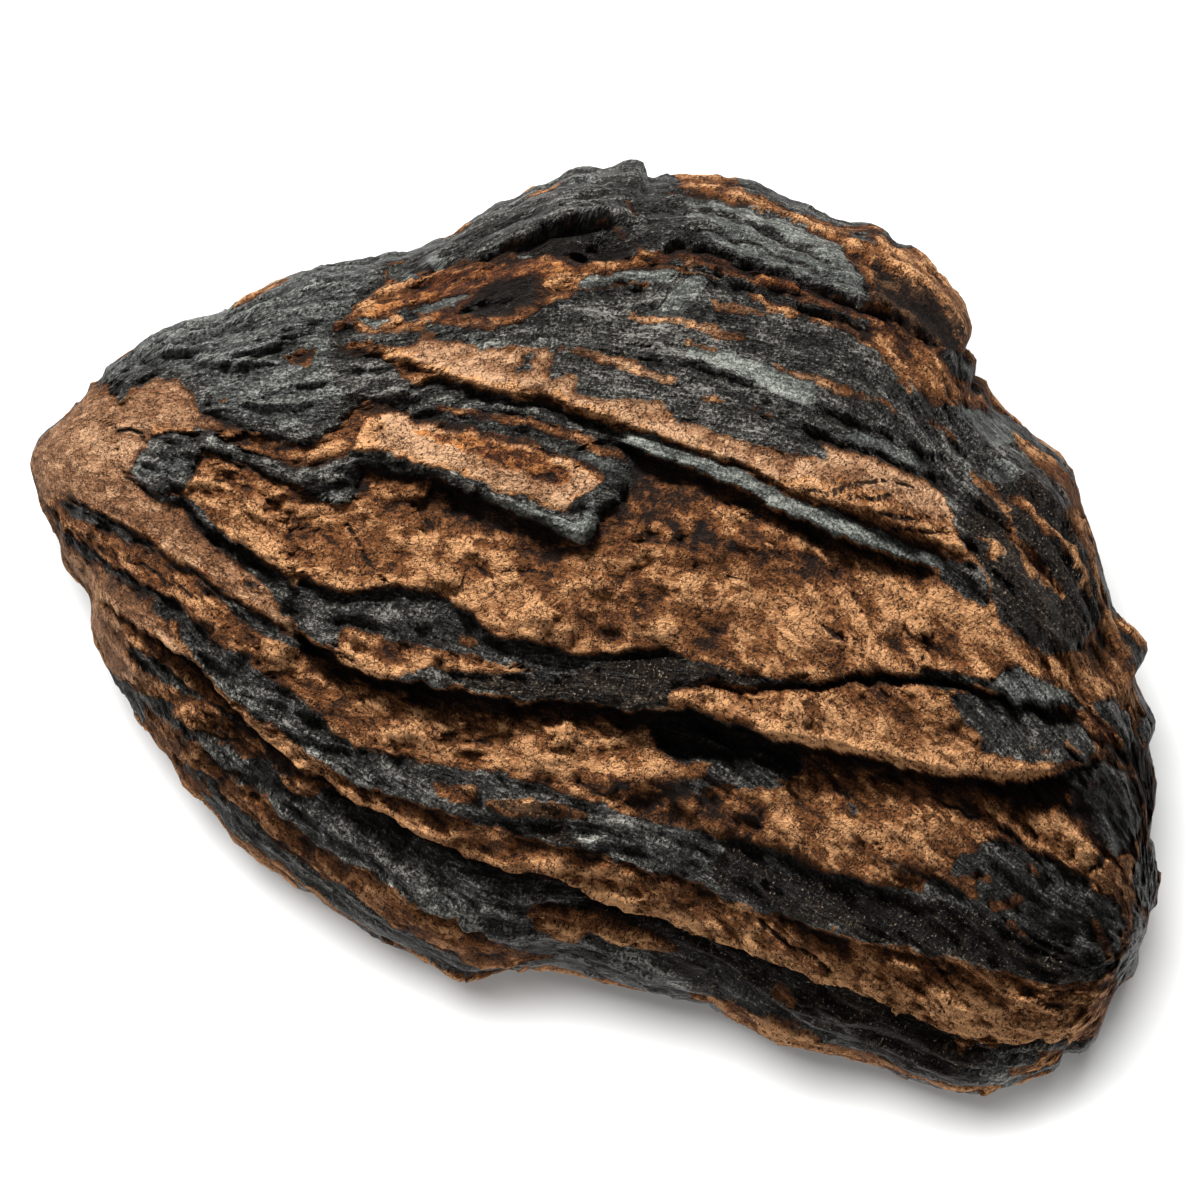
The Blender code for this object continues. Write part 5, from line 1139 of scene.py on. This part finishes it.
@dataclass
class Wiring:
    """Adds nodes to a shader tree and joins them, with short names for what is used often."""

    tree: bpy.types.NodeTree

    def put(self, socket: Socket, value: object) -> None:
        """Joins a socket to a value: another socket, a number or a tuple."""
        if isinstance(value, Socket):
            self.tree.links.new(value, socket)
        else:
            socket.default_value = value

    def node(self, kind: str, **values: object) -> bpy.types.Node:
        """Adds a node.

        Args:
            kind: Its class, without the word ShaderNode.
            values: Its own settings.

        Returns:
            The node.
        """
        made = self.tree.nodes.new("ShaderNode" + kind)
        for name, value in values.items():
            setattr(made, name, value)
        return made

    def math(self, operation: str, first: object, second: object = 0.0) -> Socket:
        """One sum on numbers.

        Args:
            operation: Blender's name for it.
            first: First number or socket.
            second: Second number or socket.

        Returns:
            The result.
        """
        made = self.node("Math", operation=operation)
        self.put(made.inputs[0], first)
        self.put(made.inputs[1], second)
        return made.outputs[0]

    def plus(self, first: object, second: object) -> Socket:
        """The sum of two numbers."""
        return self.math("ADD", first, second)

    def less(self, first: object, second: object) -> Socket:
        """The first number less the second."""
        return self.math("SUBTRACT", first, second)

    def times(self, first: object, second: object) -> Socket:
        """The product of two numbers."""
        return self.math("MULTIPLY", first, second)

    def step(self, value: object, low: object, high: object, to: float = 1.0) -> Socket:
        """A smooth step.

        Args:
            value: What is read.
            low: Where it gives 0.
            high: Where it gives its full value.
            to: That full value.

        Returns:
            The result.
        """
        made = self.node("MapRange", interpolation_type="SMOOTHSTEP")
        for name, given in (("Value", value), ("From Min", low), ("From Max", high), ("To Max", to)):
            self.put(made.inputs[name], given)
        return made.outputs["Result"]

    def mix(self, factor: object, first: object, second: object) -> Socket:
        """Mixes two colours.

        Args:
            factor: Share of the second.
            first: First colour or socket.
            second: Second colour or socket.

        Returns:
            The colour.
        """
        made = self.node("Mix", data_type="RGBA")
        self.put(made.inputs[0], factor)
        self.put(made.inputs[6], first)
        self.put(made.inputs[7], second)
        return made.outputs[2]

    def stretched(self, vector: object, scale: tuple[float, float, float]) -> Socket:
        """A place with each of its parts multiplied."""
        made = self.node("VectorMath", operation="MULTIPLY")
        self.put(made.inputs[0], vector)
        made.inputs[1].default_value = scale
        return made.outputs[0]

    def cloud(self, vector: object, scale: float, detail: float, rough: float) -> Socket:
        """Cloudy noise.

        Args:
            vector: Place in millimetres.
            scale: Lumps in a millimetre.
            detail: How many finer layers it has.
            rough: How strong they are.

        Returns:
            A value around 0.5.
        """
        made = self.node("TexNoise")
        for name, given in (("Vector", vector), ("Scale", scale), ("Detail", detail), ("Roughness", rough)):
            self.put(made.inputs[name], given)
        return made.outputs["Fac"]

    def cells(self, vector: object, scale: float, output: str) -> Socket:
        """Reads a pattern of cells around scattered points.

        Args:
            vector: Place in millimetres.
            scale: Points in a millimetre.
            output: Distance to the nearest point, in their spacings, or Color of its cell.

        Returns:
            The value.
        """
        made = self.node("TexVoronoi")
        self.put(made.inputs["Vector"], vector)
        self.put(made.inputs["Scale"], scale)
        return made.outputs[output]

    def moved(self, vector: object, by: object) -> Socket:
        """A place with a value added to each of its parts."""
        made = self.node("VectorMath", operation="ADD")
        self.put(made.inputs[0], vector)
        self.put(made.inputs[1], by)
        return made.outputs[0]

    def share(self, value: object, low: float, high: float) -> Socket:
        """A straight ramp from 0 at low to 1 at high."""
        made = self.node("MapRange")
        for name, given in (("Value", value), ("From Min", low), ("From Max", high)):
            self.put(made.inputs[name], given)
        return made.outputs["Result"]

    def read(self, name: str, kind: str = "Fac") -> Socket:
        """A value that the mesh carries at each point."""
        return self.node("Attribute", attribute_name=name).outputs[kind]


class Groups:
    """The shader groups that the materials share, each made once."""

    def __init__(self) -> None:
        """Makes the groups."""
        self.edge = self.ragged_edge()
        self.tones = self.three_tones()

    def start(self, name: str, inputs: tuple, outputs: tuple) -> tuple[Wiring, dict, bpy.types.Node]:
        """Starts a group.

        Args:
            name: Its name.
            inputs: Name, kind and starting value of each input.
            outputs: Name and kind of each output.

        Returns:
            Its wiring, its inputs by name and its output node.
        """
        tree = bpy.data.node_groups.new(name, "ShaderNodeTree")
        for label, kind, value in inputs:
            socket = tree.interface.new_socket(label, in_out="INPUT", socket_type="NodeSocket" + kind)
            socket.default_value = value
        for label, kind in outputs:
            tree.interface.new_socket(label, in_out="OUTPUT", socket_type="NodeSocket" + kind)
        wiring = Wiring(tree)
        given = tree.nodes.new("NodeGroupInput")
        return wiring, given.outputs, tree.nodes.new("NodeGroupOutput")

    def ragged_edge(self) -> bpy.types.NodeTree:
        """Makes a mask that follows a distance field, torn by a cloud around a half.

        Returns:
            The group.
        """
        wiring, given, out = self.start(
            "ragged_edge",
            (("Field", "Float", 0.0), ("Cloud", "Float", 0.5), ("Tear", "Float", 1.0)),
            (("Mask", "Float"),),
        )
        torn = wiring.times(wiring.less(given["Cloud"], 0.5), given["Tear"])
        moved = wiring.plus(given["Field"], torn)
        wiring.put(out.inputs["Mask"], wiring.step(moved, -0.1, 0.1))
        return wiring.tree

    def three_tones(self) -> bpy.types.NodeTree:
        """Makes a colour from shaded to lit grains by a value from 0 to 1.

        Returns:
            The group.
        """
        wiring, given, out = self.start(
            "three_tones",
            (
                ("Value", "Float", 0.5),
                ("Dark", "Color", (0, 0, 0, 1)),
                ("Middle", "Color", (0.2, 0.2, 0.2, 1)),
                ("Light", "Color", (0.8, 0.8, 0.8, 1)),
            ),
            (("Color", "Color"),),
        )
        value = given["Value"]
        low = wiring.mix(wiring.share(value, 0.0, 0.5), given["Dark"], given["Middle"])
        wiring.put(out.inputs["Color"], wiring.mix(wiring.share(value, 0.5, 1.0), low, given["Light"]))
        return wiring.tree


class ToothFinish:
    """The tooth's material: porous brown cement and ragged bands of dark enamel."""

    def __init__(self, groups: Groups) -> None:
        """Makes the material and wires it.

        Args:
            groups: The shared shader groups.
        """
        self.groups = groups
        self.material = bpy.data.materials.new("fossil_tooth")
        self.material.use_nodes = True
        self.wiring = Wiring(self.material.node_tree)
        self.shader = self.material.node_tree.nodes["Principled BSDF"]
        w = self.wiring
        self.place = w.read("place", "Vector")
        grain = w.read("grain", "Vector")
        self.hollow = w.read("hollow")
        nook = w.read("nook")
        # Painted shade in the creases that nook finds, and lighter crests, which stand both for their wear
        # and for a painted highlight.
        sunk_shade, proud_highlight = w.step(nook, low=0.6, high=1.0, to=0.3), w.step(nook, low=0.42, high=0.08, to=0.25)
        self.crest_light_and_crease_shade = w.less(sunk_shade, proud_highlight)
        self.mottle = w.read("mottle")
        self.torn = w.cloud(self.place, scale=0.55, detail=4, rough=0.62)
        self.grit = w.cloud(self.place, scale=2.1, detail=3, rough=0.75)
        self.pores = w.cells(w.stretched(grain, (1.5, 1.0, 1.0)), scale=0.8, output="Distance")
        self.fibre = w.cloud(w.stretched(grain, (0.15, 1.7, 1.7)), scale=1.0, detail=3, rough=0.65)
        bent = w.moved(w.stretched(grain, (0.5, 1.0, 1.0)), w.times(self.torn, 2.5))
        self.flake = w.cells(bent, scale=0.5, output="Color")
        self.split = w.step(w.math("ABSOLUTE", w.less(self.torn, 0.5)), low=0.02, high=0.004)
        self.dress()

    def group(self, tree: bpy.types.NodeTree, **values: object) -> Socket:
        """Places a group.

        Args:
            tree: The group.
            values: A value or socket for each of its inputs.

        Returns:
            Its first output.
        """
        made = self.wiring.node("Group", node_tree=tree)
        for name, value in values.items():
            self.wiring.put(made.inputs[name], value)
        return made.outputs[0]

    def mask(self, field: str, tear: float, wider: float = 0.0) -> Socket:
        """Where a field is above 0, made wider and its edge torn by so many millimetres."""
        at = self.wiring.plus(self.wiring.read(field), wider)
        return self.group(self.groups.edge, Field=at, Cloud=self.torn, Tear=tear)

    def blended(self, value: Socket, base: Stuff, over: dict) -> Socket:
        """The colour of one family of stuffs.

        Args:
            value: Tone from 0 to 1.
            base: The family's usual stuff.
            over: Mask of each stuff that lies over it.

        Returns:
            The colour.
        """
        tones = [linear(getattr(FINISHES[base], tone)) for tone in ("dark", "middle", "light")]
        for stuff, mask in over.items():
            for k, tone in enumerate(("dark", "middle", "light")):
                tones[k] = self.wiring.mix(mask, tones[k], linear(getattr(FINISHES[stuff], tone)))
        return self.group(self.groups.tones, Value=value, Dark=tones[0], Middle=tones[1], Light=tones[2])

    def summed(self, weights: dict[str, float]) -> Socket:
        """Clouds added up around a half.

        Args:
            weights: The weight of each cloud, by its name.

        Returns:
            The value.
        """
        total = 0.5
        w = self.wiring
        for name, weight in weights.items():
            total = w.plus(w.times(w.less(getattr(self, name), 0.5), weight), total)
        return total

    def cement(self) -> tuple[Socket, Socket]:
        """Wires the cement.

        Returns:
            Its colour and its height in millimetres.
        """
        w, pits = self.wiring, CEMENT_PITS
        shade = w.times(w.less(self.torn, 0.5), w.less(1.0, self.mottle))
        value = w.plus(self.summed(CEMENT_TONE), shade)
        # Darker in the creases, which is painted shade, lighter on the crests, which is partly wear and
        # partly painted highlight, and darker along the splits.
        value = w.less(value, w.plus(self.crest_light_and_crease_shade, w.times(self.split, 0.7)))
        over = {stuff: self.mask(stuff.value, tear) for stuff, tear in CEMENT_STUFFS.items()}
        colour = self.blended(value, Stuff.CEMENT, over)
        reach = w.less(pits.reach, w.times(self.torn, 0.75))
        pit = w.step(self.pores, low=reach, high=w.less(reach, pits.soft))
        colour = w.mix(w.times(pit, pits.dark), colour, linear(PIT_AND_EDGE_SHADE_COLOUR))
        height = w.less(self.summed(CEMENT_HEIGHT), w.times(self.split, 0.5))
        return colour, w.less(height, w.times(pit, pits.deep))

    def enamel(self) -> tuple[Socket, Socket, Socket]:
        """Wires the enamel, whose blue slab is smoother than the rest.

        Returns:
            Its colour, its height in millimetres, and a part of its roughness.
        """
        w, pits = self.wiring, ENAMEL_PITS
        # Painted shade in the creases, crests partly wear and partly painted highlight, and darker splits.
        value = w.less(self.summed(ENAMEL_TONE), w.times(w.plus(self.crest_light_and_crease_shade, self.split), 0.4))
        over = {stuff: self.mask(stuff.value, tear) for stuff, tear in ENAMEL_STUFFS.items()}
        colour = self.blended(w.less(value, 0.1), Stuff.ENAMEL, over)
        rough = w.less(1.0, w.times(over[Stuff.BLUE], 0.7))
        pit = w.times(w.step(self.pores, low=pits.reach, high=pits.reach - pits.soft), rough)
        colour = w.mix(w.times(pit, pits.dark), colour, linear(FINISHES[Stuff.ENAMEL].dark))
        speck = w.step(self.grit, low=0.62, high=0.67)
        amount = w.plus(w.times(over[Stuff.FLECK], 0.55), 0.05)
        colour = w.mix(w.times(speck, amount), colour, linear(SPECK_COLOUR))
        height = w.less(w.times(self.summed(ENAMEL_HEIGHT), rough), w.times(pit, pits.deep))
        return colour, height, w.step(self.grit, low=0.35, high=0.65, to=0.3)

    def dress(self) -> None:
        """Joins the two families at the ragged edge of the enamel, with painted shade on the cement beside
        that edge, and adds cracks, painted shade in the deepest hollows and painted shadow where the stains
        are darkest.
        """
        w = self.wiring
        earth, earth_height = self.cement()
        black, black_height, black_rough = self.enamel()
        edge = self.mask("enamel_family", ENAMEL_TEAR)
        # Painted shade: the cement just beside the enamel's edge is darkened towards the colour of the pits.
        edge_shade = self.mask("enamel_family", ENAMEL_TEAR, wider=0.4)
        earth = w.mix(w.times(edge_shade, 0.5), earth, linear(PIT_AND_EDGE_SHADE_COLOUR))
        colour = w.mix(edge, earth, black)
        crack = self.mask("crack", tear=0.9)
        colour = w.mix(w.times(crack, 0.9), colour, linear(CRACK_AND_SHADE_COLOUR))
        # Painted shade: the deepest hollows take the colour of the cracks.
        sunk_shade = w.step(self.hollow, low=0.66, high=1.0, to=0.62)
        # Painted shadow: where the stains are darkest, the colour goes to that of the cracks.
        painted_shadow = w.step(self.mottle, low=0.08, high=0.0, to=0.85)
        colour = w.mix(w.math("MAXIMUM", sunk_shade, painted_shadow), colour, linear(CRACK_AND_SHADE_COLOUR))
        w.put(self.shader.inputs["Base Color"], colour)
        black_rough = w.plus(black_rough, ENAMEL_ROUGHNESS)
        w.put(self.shader.inputs["Roughness"], self.between(edge, CEMENT_ROUGHNESS, black_rough))
        height = self.between(edge, w.plus(earth_height, 0.3), black_height)
        bump = w.node("Bump")
        bump.inputs["Strength"].default_value = 1.0
        bump.inputs["Distance"].default_value = BUMP_DISTANCE
        w.put(bump.inputs["Height"], w.less(height, w.times(crack, 0.5)))
        w.put(self.shader.inputs["Normal"], bump.outputs["Normal"])
        self.shader.inputs["Specular IOR Level"].default_value = SPECULAR

    def between(self, factor: object, first: object, second: object) -> Socket:
        """A number mixed from two by a factor."""
        made = self.wiring.node("Mix", data_type="FLOAT")
        for k, value in ((0, factor), (2, first), (3, second)):
            self.wiring.put(made.inputs[k], value)
        return made.outputs[0]


class Tooth:
    """The one piece: the fossil tooth, with the fine relief that the CAD solid leaves out."""

    def __init__(self, surface: Surface, pose: Pose) -> None:
        """Works out the grid and what each of its points is made of.

        Args:
            surface: The tooth's form.
            pose: How it lies.
        """
        self.surface, self.pose = surface, pose
        v, theta = surface.grid()
        self.shape = rings, lines = v.shape
        self.kept = np.concatenate([[0], np.arange(lines, (rings - 1) * lines), [(rings - 1) * lines]])
        self.v, self.theta = v.ravel(), theta.ravel()
        self.p = np.stack(surface.body(self.v, self.theta), axis=1)
        self.front = surface.front(self.p, self.theta)
        self.fields = self.painted()
        self.crack = self.cracked()

    def painted(self) -> dict[str, Array]:
        """Lays the marks on both sides.

        Returns:
            Distance into each stuff, and into all of the enamel, at each point.
        """
        aw, hw = self.surface.warped(self.p)
        turned = np.cos(self.theta)
        wall = ramp((turned - UPPER_WALL) / WALL_FADE) + ramp((-turned - LOWER_WALL) / WALL_FADE)
        shown = self.laid(MARKS, aw + WALL_SHIFT * wall * lattice(self.p * (0.5, 1, 1), 8, 14), hw)
        streak = WALL_STREAK * wall * lattice(self.p * (0.13, 1, 1), 5.5, 15)
        streak = streak - 0.45 * ramp((-hw - 2) / 6)  # the enamel of the lower half is a little thinner
        for name in shown:
            shown[name] += streak if name in ("enamel", "enamel_family") else -wall * np.abs(streak)
        unrolled = self.surface.unrolled(self.v, self.theta)
        behind = self.laid(self.back_marks(), aw, hw + unrolled - self.p[:, 1])
        return {name: self.front * shown[name] + (1 - self.front) * behind[name] for name in shown}

    def laid(self, marks: tuple[Mark, ...], aw: Array, hw: Array) -> dict[str, Array]:
        """Lays marks one over the other.

        Args:
            marks: What is laid.
            aw: Places along the plates.
            hw: Places across them.

        Returns:
            The distance into each stuff, by its name.
        """
        names = [stuff.value for stuff in Stuff if stuff is not Stuff.CEMENT] + ["enamel_family"]
        fields = {name: np.full(len(aw), -NEAR) for name in names}
        for mark in marks:
            if mark.line:
                s = beside(aw, hw, np.array(mark.points, float).reshape(-1, 3))
            else:
                s = into(aw, hw, np.array(mark.points, float).reshape(-1, 2))
            s = np.clip(s, -NEAR, NEAR)
            own = {mark.stuff.value}
            if mark.stuff in ENAMEL_STUFFS or mark.stuff is Stuff.ENAMEL:
                own.add("enamel_family")
            for name in names:
                fields[name] = np.maximum(fields[name], s) if name in own else np.minimum(fields[name], -s)
        return fields

    def back_marks(self) -> tuple[Mark, ...]:
        """Bands over the hidden side as if it lay flat.

        Returns:
            A strip of coloured cement, a band of enamel and its worn crest for each.
        """
        marks = []
        for k in range(BACK_BANDS):
            earth, band, crest = [], [], []
            middle = np.array(self.surface.layer(k, BACK_FIRST + BACK_STEP * k)).reshape(-1, 2)
            for i, (a, h) in enumerate(middle):
                half = BAND_HALF + 1.7 * math.sin(1.9 * k + 0.7 * i) * math.sin(0.31 * i + k)
                earth += [a, h - 2.5 + 1.5 * math.sin(0.5 * i + 2 * k), 2 * math.sin(0.27 * i + 1.3 * k)]
                band += [a, h + half * 0.8, half]
                crest += [a, h + half * 0.8, CREST_HALF + 0.25 * math.sin(2.3 * i + k)]
            marks.append(Mark((Stuff.TAN, Stuff.RUST, Stuff.DARK)[k % 3], tuple(earth), True))
            marks.append(Mark(Stuff.ENAMEL, tuple(band), True))
            marks.append(Mark(Stuff.SILVER if k % 3 else Stuff.PLATE, tuple(crest), True))
        return tuple(marks)

    def cracked(self) -> Array:
        """Finds the cracks of the showing side.

        Returns:
            Distance into the nearest one at each point.
        """
        aw, hw = self.surface.warped(self.p)
        found = np.full(len(aw), -NEAR)
        for line in CRACKS:
            found = np.maximum(found, beside(aw, hw, np.array(line, float).reshape(-1, 3)))
        return np.where(self.front > 0.5, found, -NEAR)

    def detail(self) -> Array:
        """Works out the fine relief: flakes, creases and chips of the cement, ridges and grit of the enamel.

        Returns:
            Millimetres out of the larger relief at each point.
        """
        p, flow = self.p, self.grain()
        long = flow * FIBRES
        ridges = 2.6 * ridged(long, 0.35, 3.6, 20) + 1.7 * ridged(long, 0.35, 2.0, 28)
        grit = layered(p, ENAMEL_GRIT, 0.6 * lattice(long, 1.4, 21)) + 0.8 * ridges
        steps = lattice(flow * FLAKES, 6, 26) * FLAKE_STEPS
        flakes = np.floor(steps) + ramp((steps - np.floor(steps)) / FLAKE_EDGE)
        creases = ridged(flow * CREASES, 0.25, 4.4, 27)
        moved = flow + 0.8 * np.stack([lattice(p, 2.2, k) for k in (24, 25, 38)], axis=1)
        chips = 1.6 * chipped(moved * CREASES, 3.6, 39) + 0.8 * chipped(moved, 1.9, 40)
        calm = 1 - 0.7 * ramp(self.fields["tan"] / 2 + 0.5)
        rough = layered(p, (Layer(0.4, 13, 29),), 0.6)
        earth = (0.5 * flakes + 1.2 * creases + chips * rough) * calm + 0.4
        smooth = ramp(self.fields["blue"] / 1.2 + 0.5)
        grit = (grit + 0.6 * chipped(moved * SPLINTERS, 2.6, 41)) * (1 - 0.7 * smooth) + 0.5 * smooth
        black = ramp(self.fields["enamel_family"] / 0.8 + 0.5)
        split = 0.9 * ramp((self.crack + 0.25) / 0.5)
        return black * grit + (1 - black) * earth - split

    def mottle(self) -> Array:
        """Works out the large stains of the cement, which is darker beside the enamel; its darkest places
        are painted shadow.

        Returns:
            0 where it is darkest and 1 where it is palest, at each point.
        """
        p = self.p
        cloud = layered(self.grain(), STAIN_CLOUD) + 0.08 * lattice(p, 1.3, 34)
        aw, hw = self.surface.warped(p)
        aw, hw = aw + 2.4 * lattice(p, 5, 35), hw + 1.6 * lattice(p, 4, 36)
        stain = np.zeros(len(p))
        for a, h, length, height, amount in STAINS:
            stain += amount * np.exp(-(((aw - a) / length) ** 2) - ((hw - h) / height) ** 2)
        stain *= 1 + 0.8 * lattice(p, 1.8, 37)
        near = ramp((self.fields["enamel_family"] + 1.6) / 1.6) * (self.fields["enamel_family"] < 0)
        return np.clip(0.5 + cloud - 0.14 * near + self.front * stain, 0, 1)

    def heights(self) -> Array:
        """The whole relief by ring and line, millimetres out of the smooth body."""
        return (self.surface.relief(self.p, self.front) + self.detail()).reshape(self.shape)

    def points(self, height: Array, low: Vector, high: Vector) -> Array:
        """The finished points in the row frame.

        Args:
            height: Relief by ring and line.
            low: Lowest corner of the CAD solid's box.
            high: Its highest corner.

        Returns:
            Points in metres, flat where the tooth rests and nowhere outside the box.
        """
        c, s = np.cos(self.theta), np.sin(self.theta)
        ends = ramp(self.v / TIP_FADE) * ramp((1 - self.v) / END_FADE)
        side = c * np.abs(c) ** 3
        toward = np.where(s >= 0, 1.0, -1.0) * np.sqrt(1 - side * side)
        reach = height.ravel() * ends * (1 - 0.5 * ramp((np.abs(c) - RIM_CALM) / RIM_FADE))
        a, h, r = self.p.T
        points = self.pose.to_row(a, h + side * reach, r + toward * reach)
        return np.clip(points, np.array(low), np.array(high))

    def faces(self) -> list[tuple[int, ...]]:
        """Four-sided faces between the rings, closed by a fan of triangles at both ends.

        Returns:
            The numbers of the points of each face.
        """
        rings, lines = self.shape
        last = (rings - 2) * lines + 1
        found = []
        for j in range(lines):
            k = (j + 1) % lines
            found.append((0, 1 + k, 1 + j))
            for i in range(rings - 3):
                near, far = 1 + i * lines, 1 + (i + 1) * lines
                found.append((near + j, near + k, far + k, far + j))
            found.append((last - lines + j, last - lines + k, last))
        return found

    def carried(self, mesh: bpy.types.Mesh, name: str, values: Array) -> None:
        """Stores a value or a vector at each point of the mesh.

        Args:
            mesh: The mesh.
            name: Name that the material reads.
            values: One row for each grid point.
        """
        kept = values[self.kept]
        if kept.ndim == 1:
            mesh.attributes.new(name, "FLOAT", "POINT").data.foreach_set("value", kept.astype(np.float32))
        else:
            store = mesh.attributes.new(name, "FLOAT_VECTOR", "POINT").data
            store.foreach_set("vector", kept.astype(np.float32).ravel())

    def grain(self) -> Array:
        """Places that run with the layers, which draw together towards both ends.

        Returns:
            Rows of a, h and r, the h spread out where the tooth is narrow.
        """
        middle, half = self.surface.span(self.v)
        across = (self.p[:, 1] - middle) * 90 / (half + 25)
        return np.stack([self.p[:, 0], across, self.p[:, 2]], axis=1)

    def build(self) -> bpy.types.Object:
        """Makes the mesh.

        Returns:
            The tooth in the row frame, in place of its CAD solid.
        """
        low, high = CAD_BOX
        height = self.heights()
        points = self.points(height, low, high)
        mesh = bpy.data.meshes.new("mammoth_tooth_surface")
        mesh.from_pydata(points[self.kept].tolist(), [], self.faces())
        mesh.shade_smooth()
        # hollow and nook are how far each point lies below the wide and the close mean, which the material
        # turns into painted shade in hollows and creases and a painted highlight on crests.
        for name, window, span in (("hollow", WIDE, WIDE_SPAN), ("nook", CLOSE, CLOSE_SPAN)):
            below = blurred(blurred(height, *window), *window) - height
            self.carried(mesh, name, 0.5 + np.clip(below.ravel() / span, -0.5, 0.5))
        self.carried(mesh, "crack", self.crack)
        self.carried(mesh, "mottle", self.mottle())
        self.carried(mesh, "grain", self.grain())
        self.carried(mesh, "place", self.p)
        for name, field in self.fields.items():
            self.carried(mesh, name, field)
        tooth = bpy.data.objects.new("mammoth_tooth_surface", mesh)
        bpy.context.scene.collection.objects.link(tooth)
        return tooth

    def dress(self, tooth: bpy.types.Object, finish: ToothFinish) -> None:
        """Gives the tooth its material and its place in the frame.

        Args:
            tooth: What build() made.
            finish: Its material.
        """
        tooth.data.materials.append(finish.material)
        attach(tooth, "root")
        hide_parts("mammoth_tooth")


@dataclass
class Stage:
    """Floor, light and camera, which aren't part of the tooth. Metres."""

    floor_size: float = 6.0
    camera_distance: float = 1.5
    sensor: float = 36.0
    seen: float = 0.192
    near: float = 1.1
    far: float = 3.0
    key_size: float = 0.25
    key_power: float = 33.0
    over_size: float = 1.1
    over_power: float = 135.0
    fill_size: float = 0.5
    fill_power: float = 2.2
    aim_height: float = 0.04
    sky: float = 0.31

    def floor(self, groups: Groups) -> bpy.types.Object:
        """A plain pale floor.

        Args:
            groups: The shared shader groups.

        Returns:
            The floor.
        """
        bpy.ops.mesh.primitive_plane_add(size=self.floor_size)
        plane = bpy.context.object
        plane.name = "floor"
        material = bpy.data.materials.new("pale_floor")
        material.use_nodes = True
        wiring = Wiring(material.node_tree)
        shader = material.node_tree.nodes["Principled BSDF"]
        place = wiring.node("TexCoord").outputs["Object"]
        cloud = wiring.cloud(place, scale=9.0, detail=2, rough=0.5)
        paper = wiring.node("Group", node_tree=groups.tones)
        wiring.put(paper.inputs["Value"], cloud)
        for name, shade in (("Dark", 242), ("Middle", 244), ("Light", 246)):
            paper.inputs[name].default_value = linear((shade, shade, shade - 1))
        wiring.put(shader.inputs["Base Color"], paper.outputs["Color"])
        shader.inputs["Roughness"].default_value = 0.9
        plane.data.materials.append(material)
        return plane

    def lamp(self, name: str, toward: Vector, away: float, size: float, power: float) -> bpy.types.Object:
        """One soft square lamp that looks at the tooth.

        Args:
            name: Its name.
            toward: Direction from the tooth to the lamp.
            away: How far off it is.
            size: Its side.
            power: Its strength in watts.

        Returns:
            The lamp.
        """
        light = bpy.data.lights.new(name, "AREA")
        light.size = size
        light.energy = power
        lamp = bpy.data.objects.new(name, light)
        bpy.context.scene.collection.objects.link(lamp)
        lamp.location = toward.normalized() * away + Vector((0, 0, self.aim_height))
        lamp.rotation_euler = toward.to_track_quat("Z", "Y").to_euler()
        return lamp

    def only(self, lamp: bpy.types.Object, lit: bpy.types.Object) -> None:
        """Keeps a lamp's light to one object."""
        group = bpy.data.collections.new(f"{lamp.name}_reach")
        group.objects.link(lit)
        lamp.light_linking.receiver_collection = group

    def light(self, pose: Pose, tooth: bpy.types.Object, floor: bpy.types.Object) -> None:
        """A raking lamp for the tooth, a broad one over the floor, a weak one beside them and an even sky.

        Args:
            pose: How the showing side lies, which the lamps are set by.
            tooth: The tooth.
            floor: The floor.
        """
        right, up, out = pose.axes()
        toward = up * 0.9 + out * 0.4 - right * 0.3
        self.only(self.lamp("key", toward, self.near, self.key_size, self.key_power), tooth)
        toward = out + up * 0.28 - right * 0.1
        self.only(self.lamp("overhead", toward, self.far, self.over_size, self.over_power), floor)
        self.lamp("fill", out - right * 0.7 - up * 0.3, self.near, self.fill_size, self.fill_power)
        world = bpy.data.worlds.new("pale_room")
        world.use_nodes = True
        background = world.node_tree.nodes["Background"]
        background.inputs["Color"].default_value = (1, 1, 1, 1)
        background.inputs["Strength"].default_value = self.sky
        bpy.context.scene.world = world
        bpy.context.scene.view_settings.view_transform = "Standard"

    def camera(self, pose: Pose) -> None:
        """The camera in front of the showing side.

        Args:
            pose: How the showing side lies.
        """
        right, up, out = pose.axes()
        data = bpy.data.cameras.new("camera")
        data.sensor_width = self.sensor
        data.lens = self.sensor * self.camera_distance / self.seen
        camera = bpy.data.objects.new("camera", data)
        bpy.context.scene.collection.objects.link(camera)
        turn = Matrix((right, up, out)).transposed().to_4x4()
        camera.matrix_world = Matrix.Translation(pose.origin() + out * self.camera_distance) @ turn
        bpy.context.scene.camera = camera


def main() -> None:
    """Builds the tooth, then what stands around it."""
    logging.basicConfig(level=logging.INFO, format="%(name)s: %(message)s")
    pose = Pose()
    groups = Groups()
    tooth = Tooth(Surface(), pose)
    piece = tooth.build()
    tooth.dress(piece, ToothFinish(groups))
    LOG.info("%s: %d points, %d faces", piece.name, len(piece.data.vertices), len(piece.data.polygons))
    stage = Stage()
    floor = stage.floor(groups)
    stage.light(pose, piece, floor)
    stage.camera(pose)
    LOG.info("floor, lamps and camera are in place")


if __name__ == "__main__":
    main()
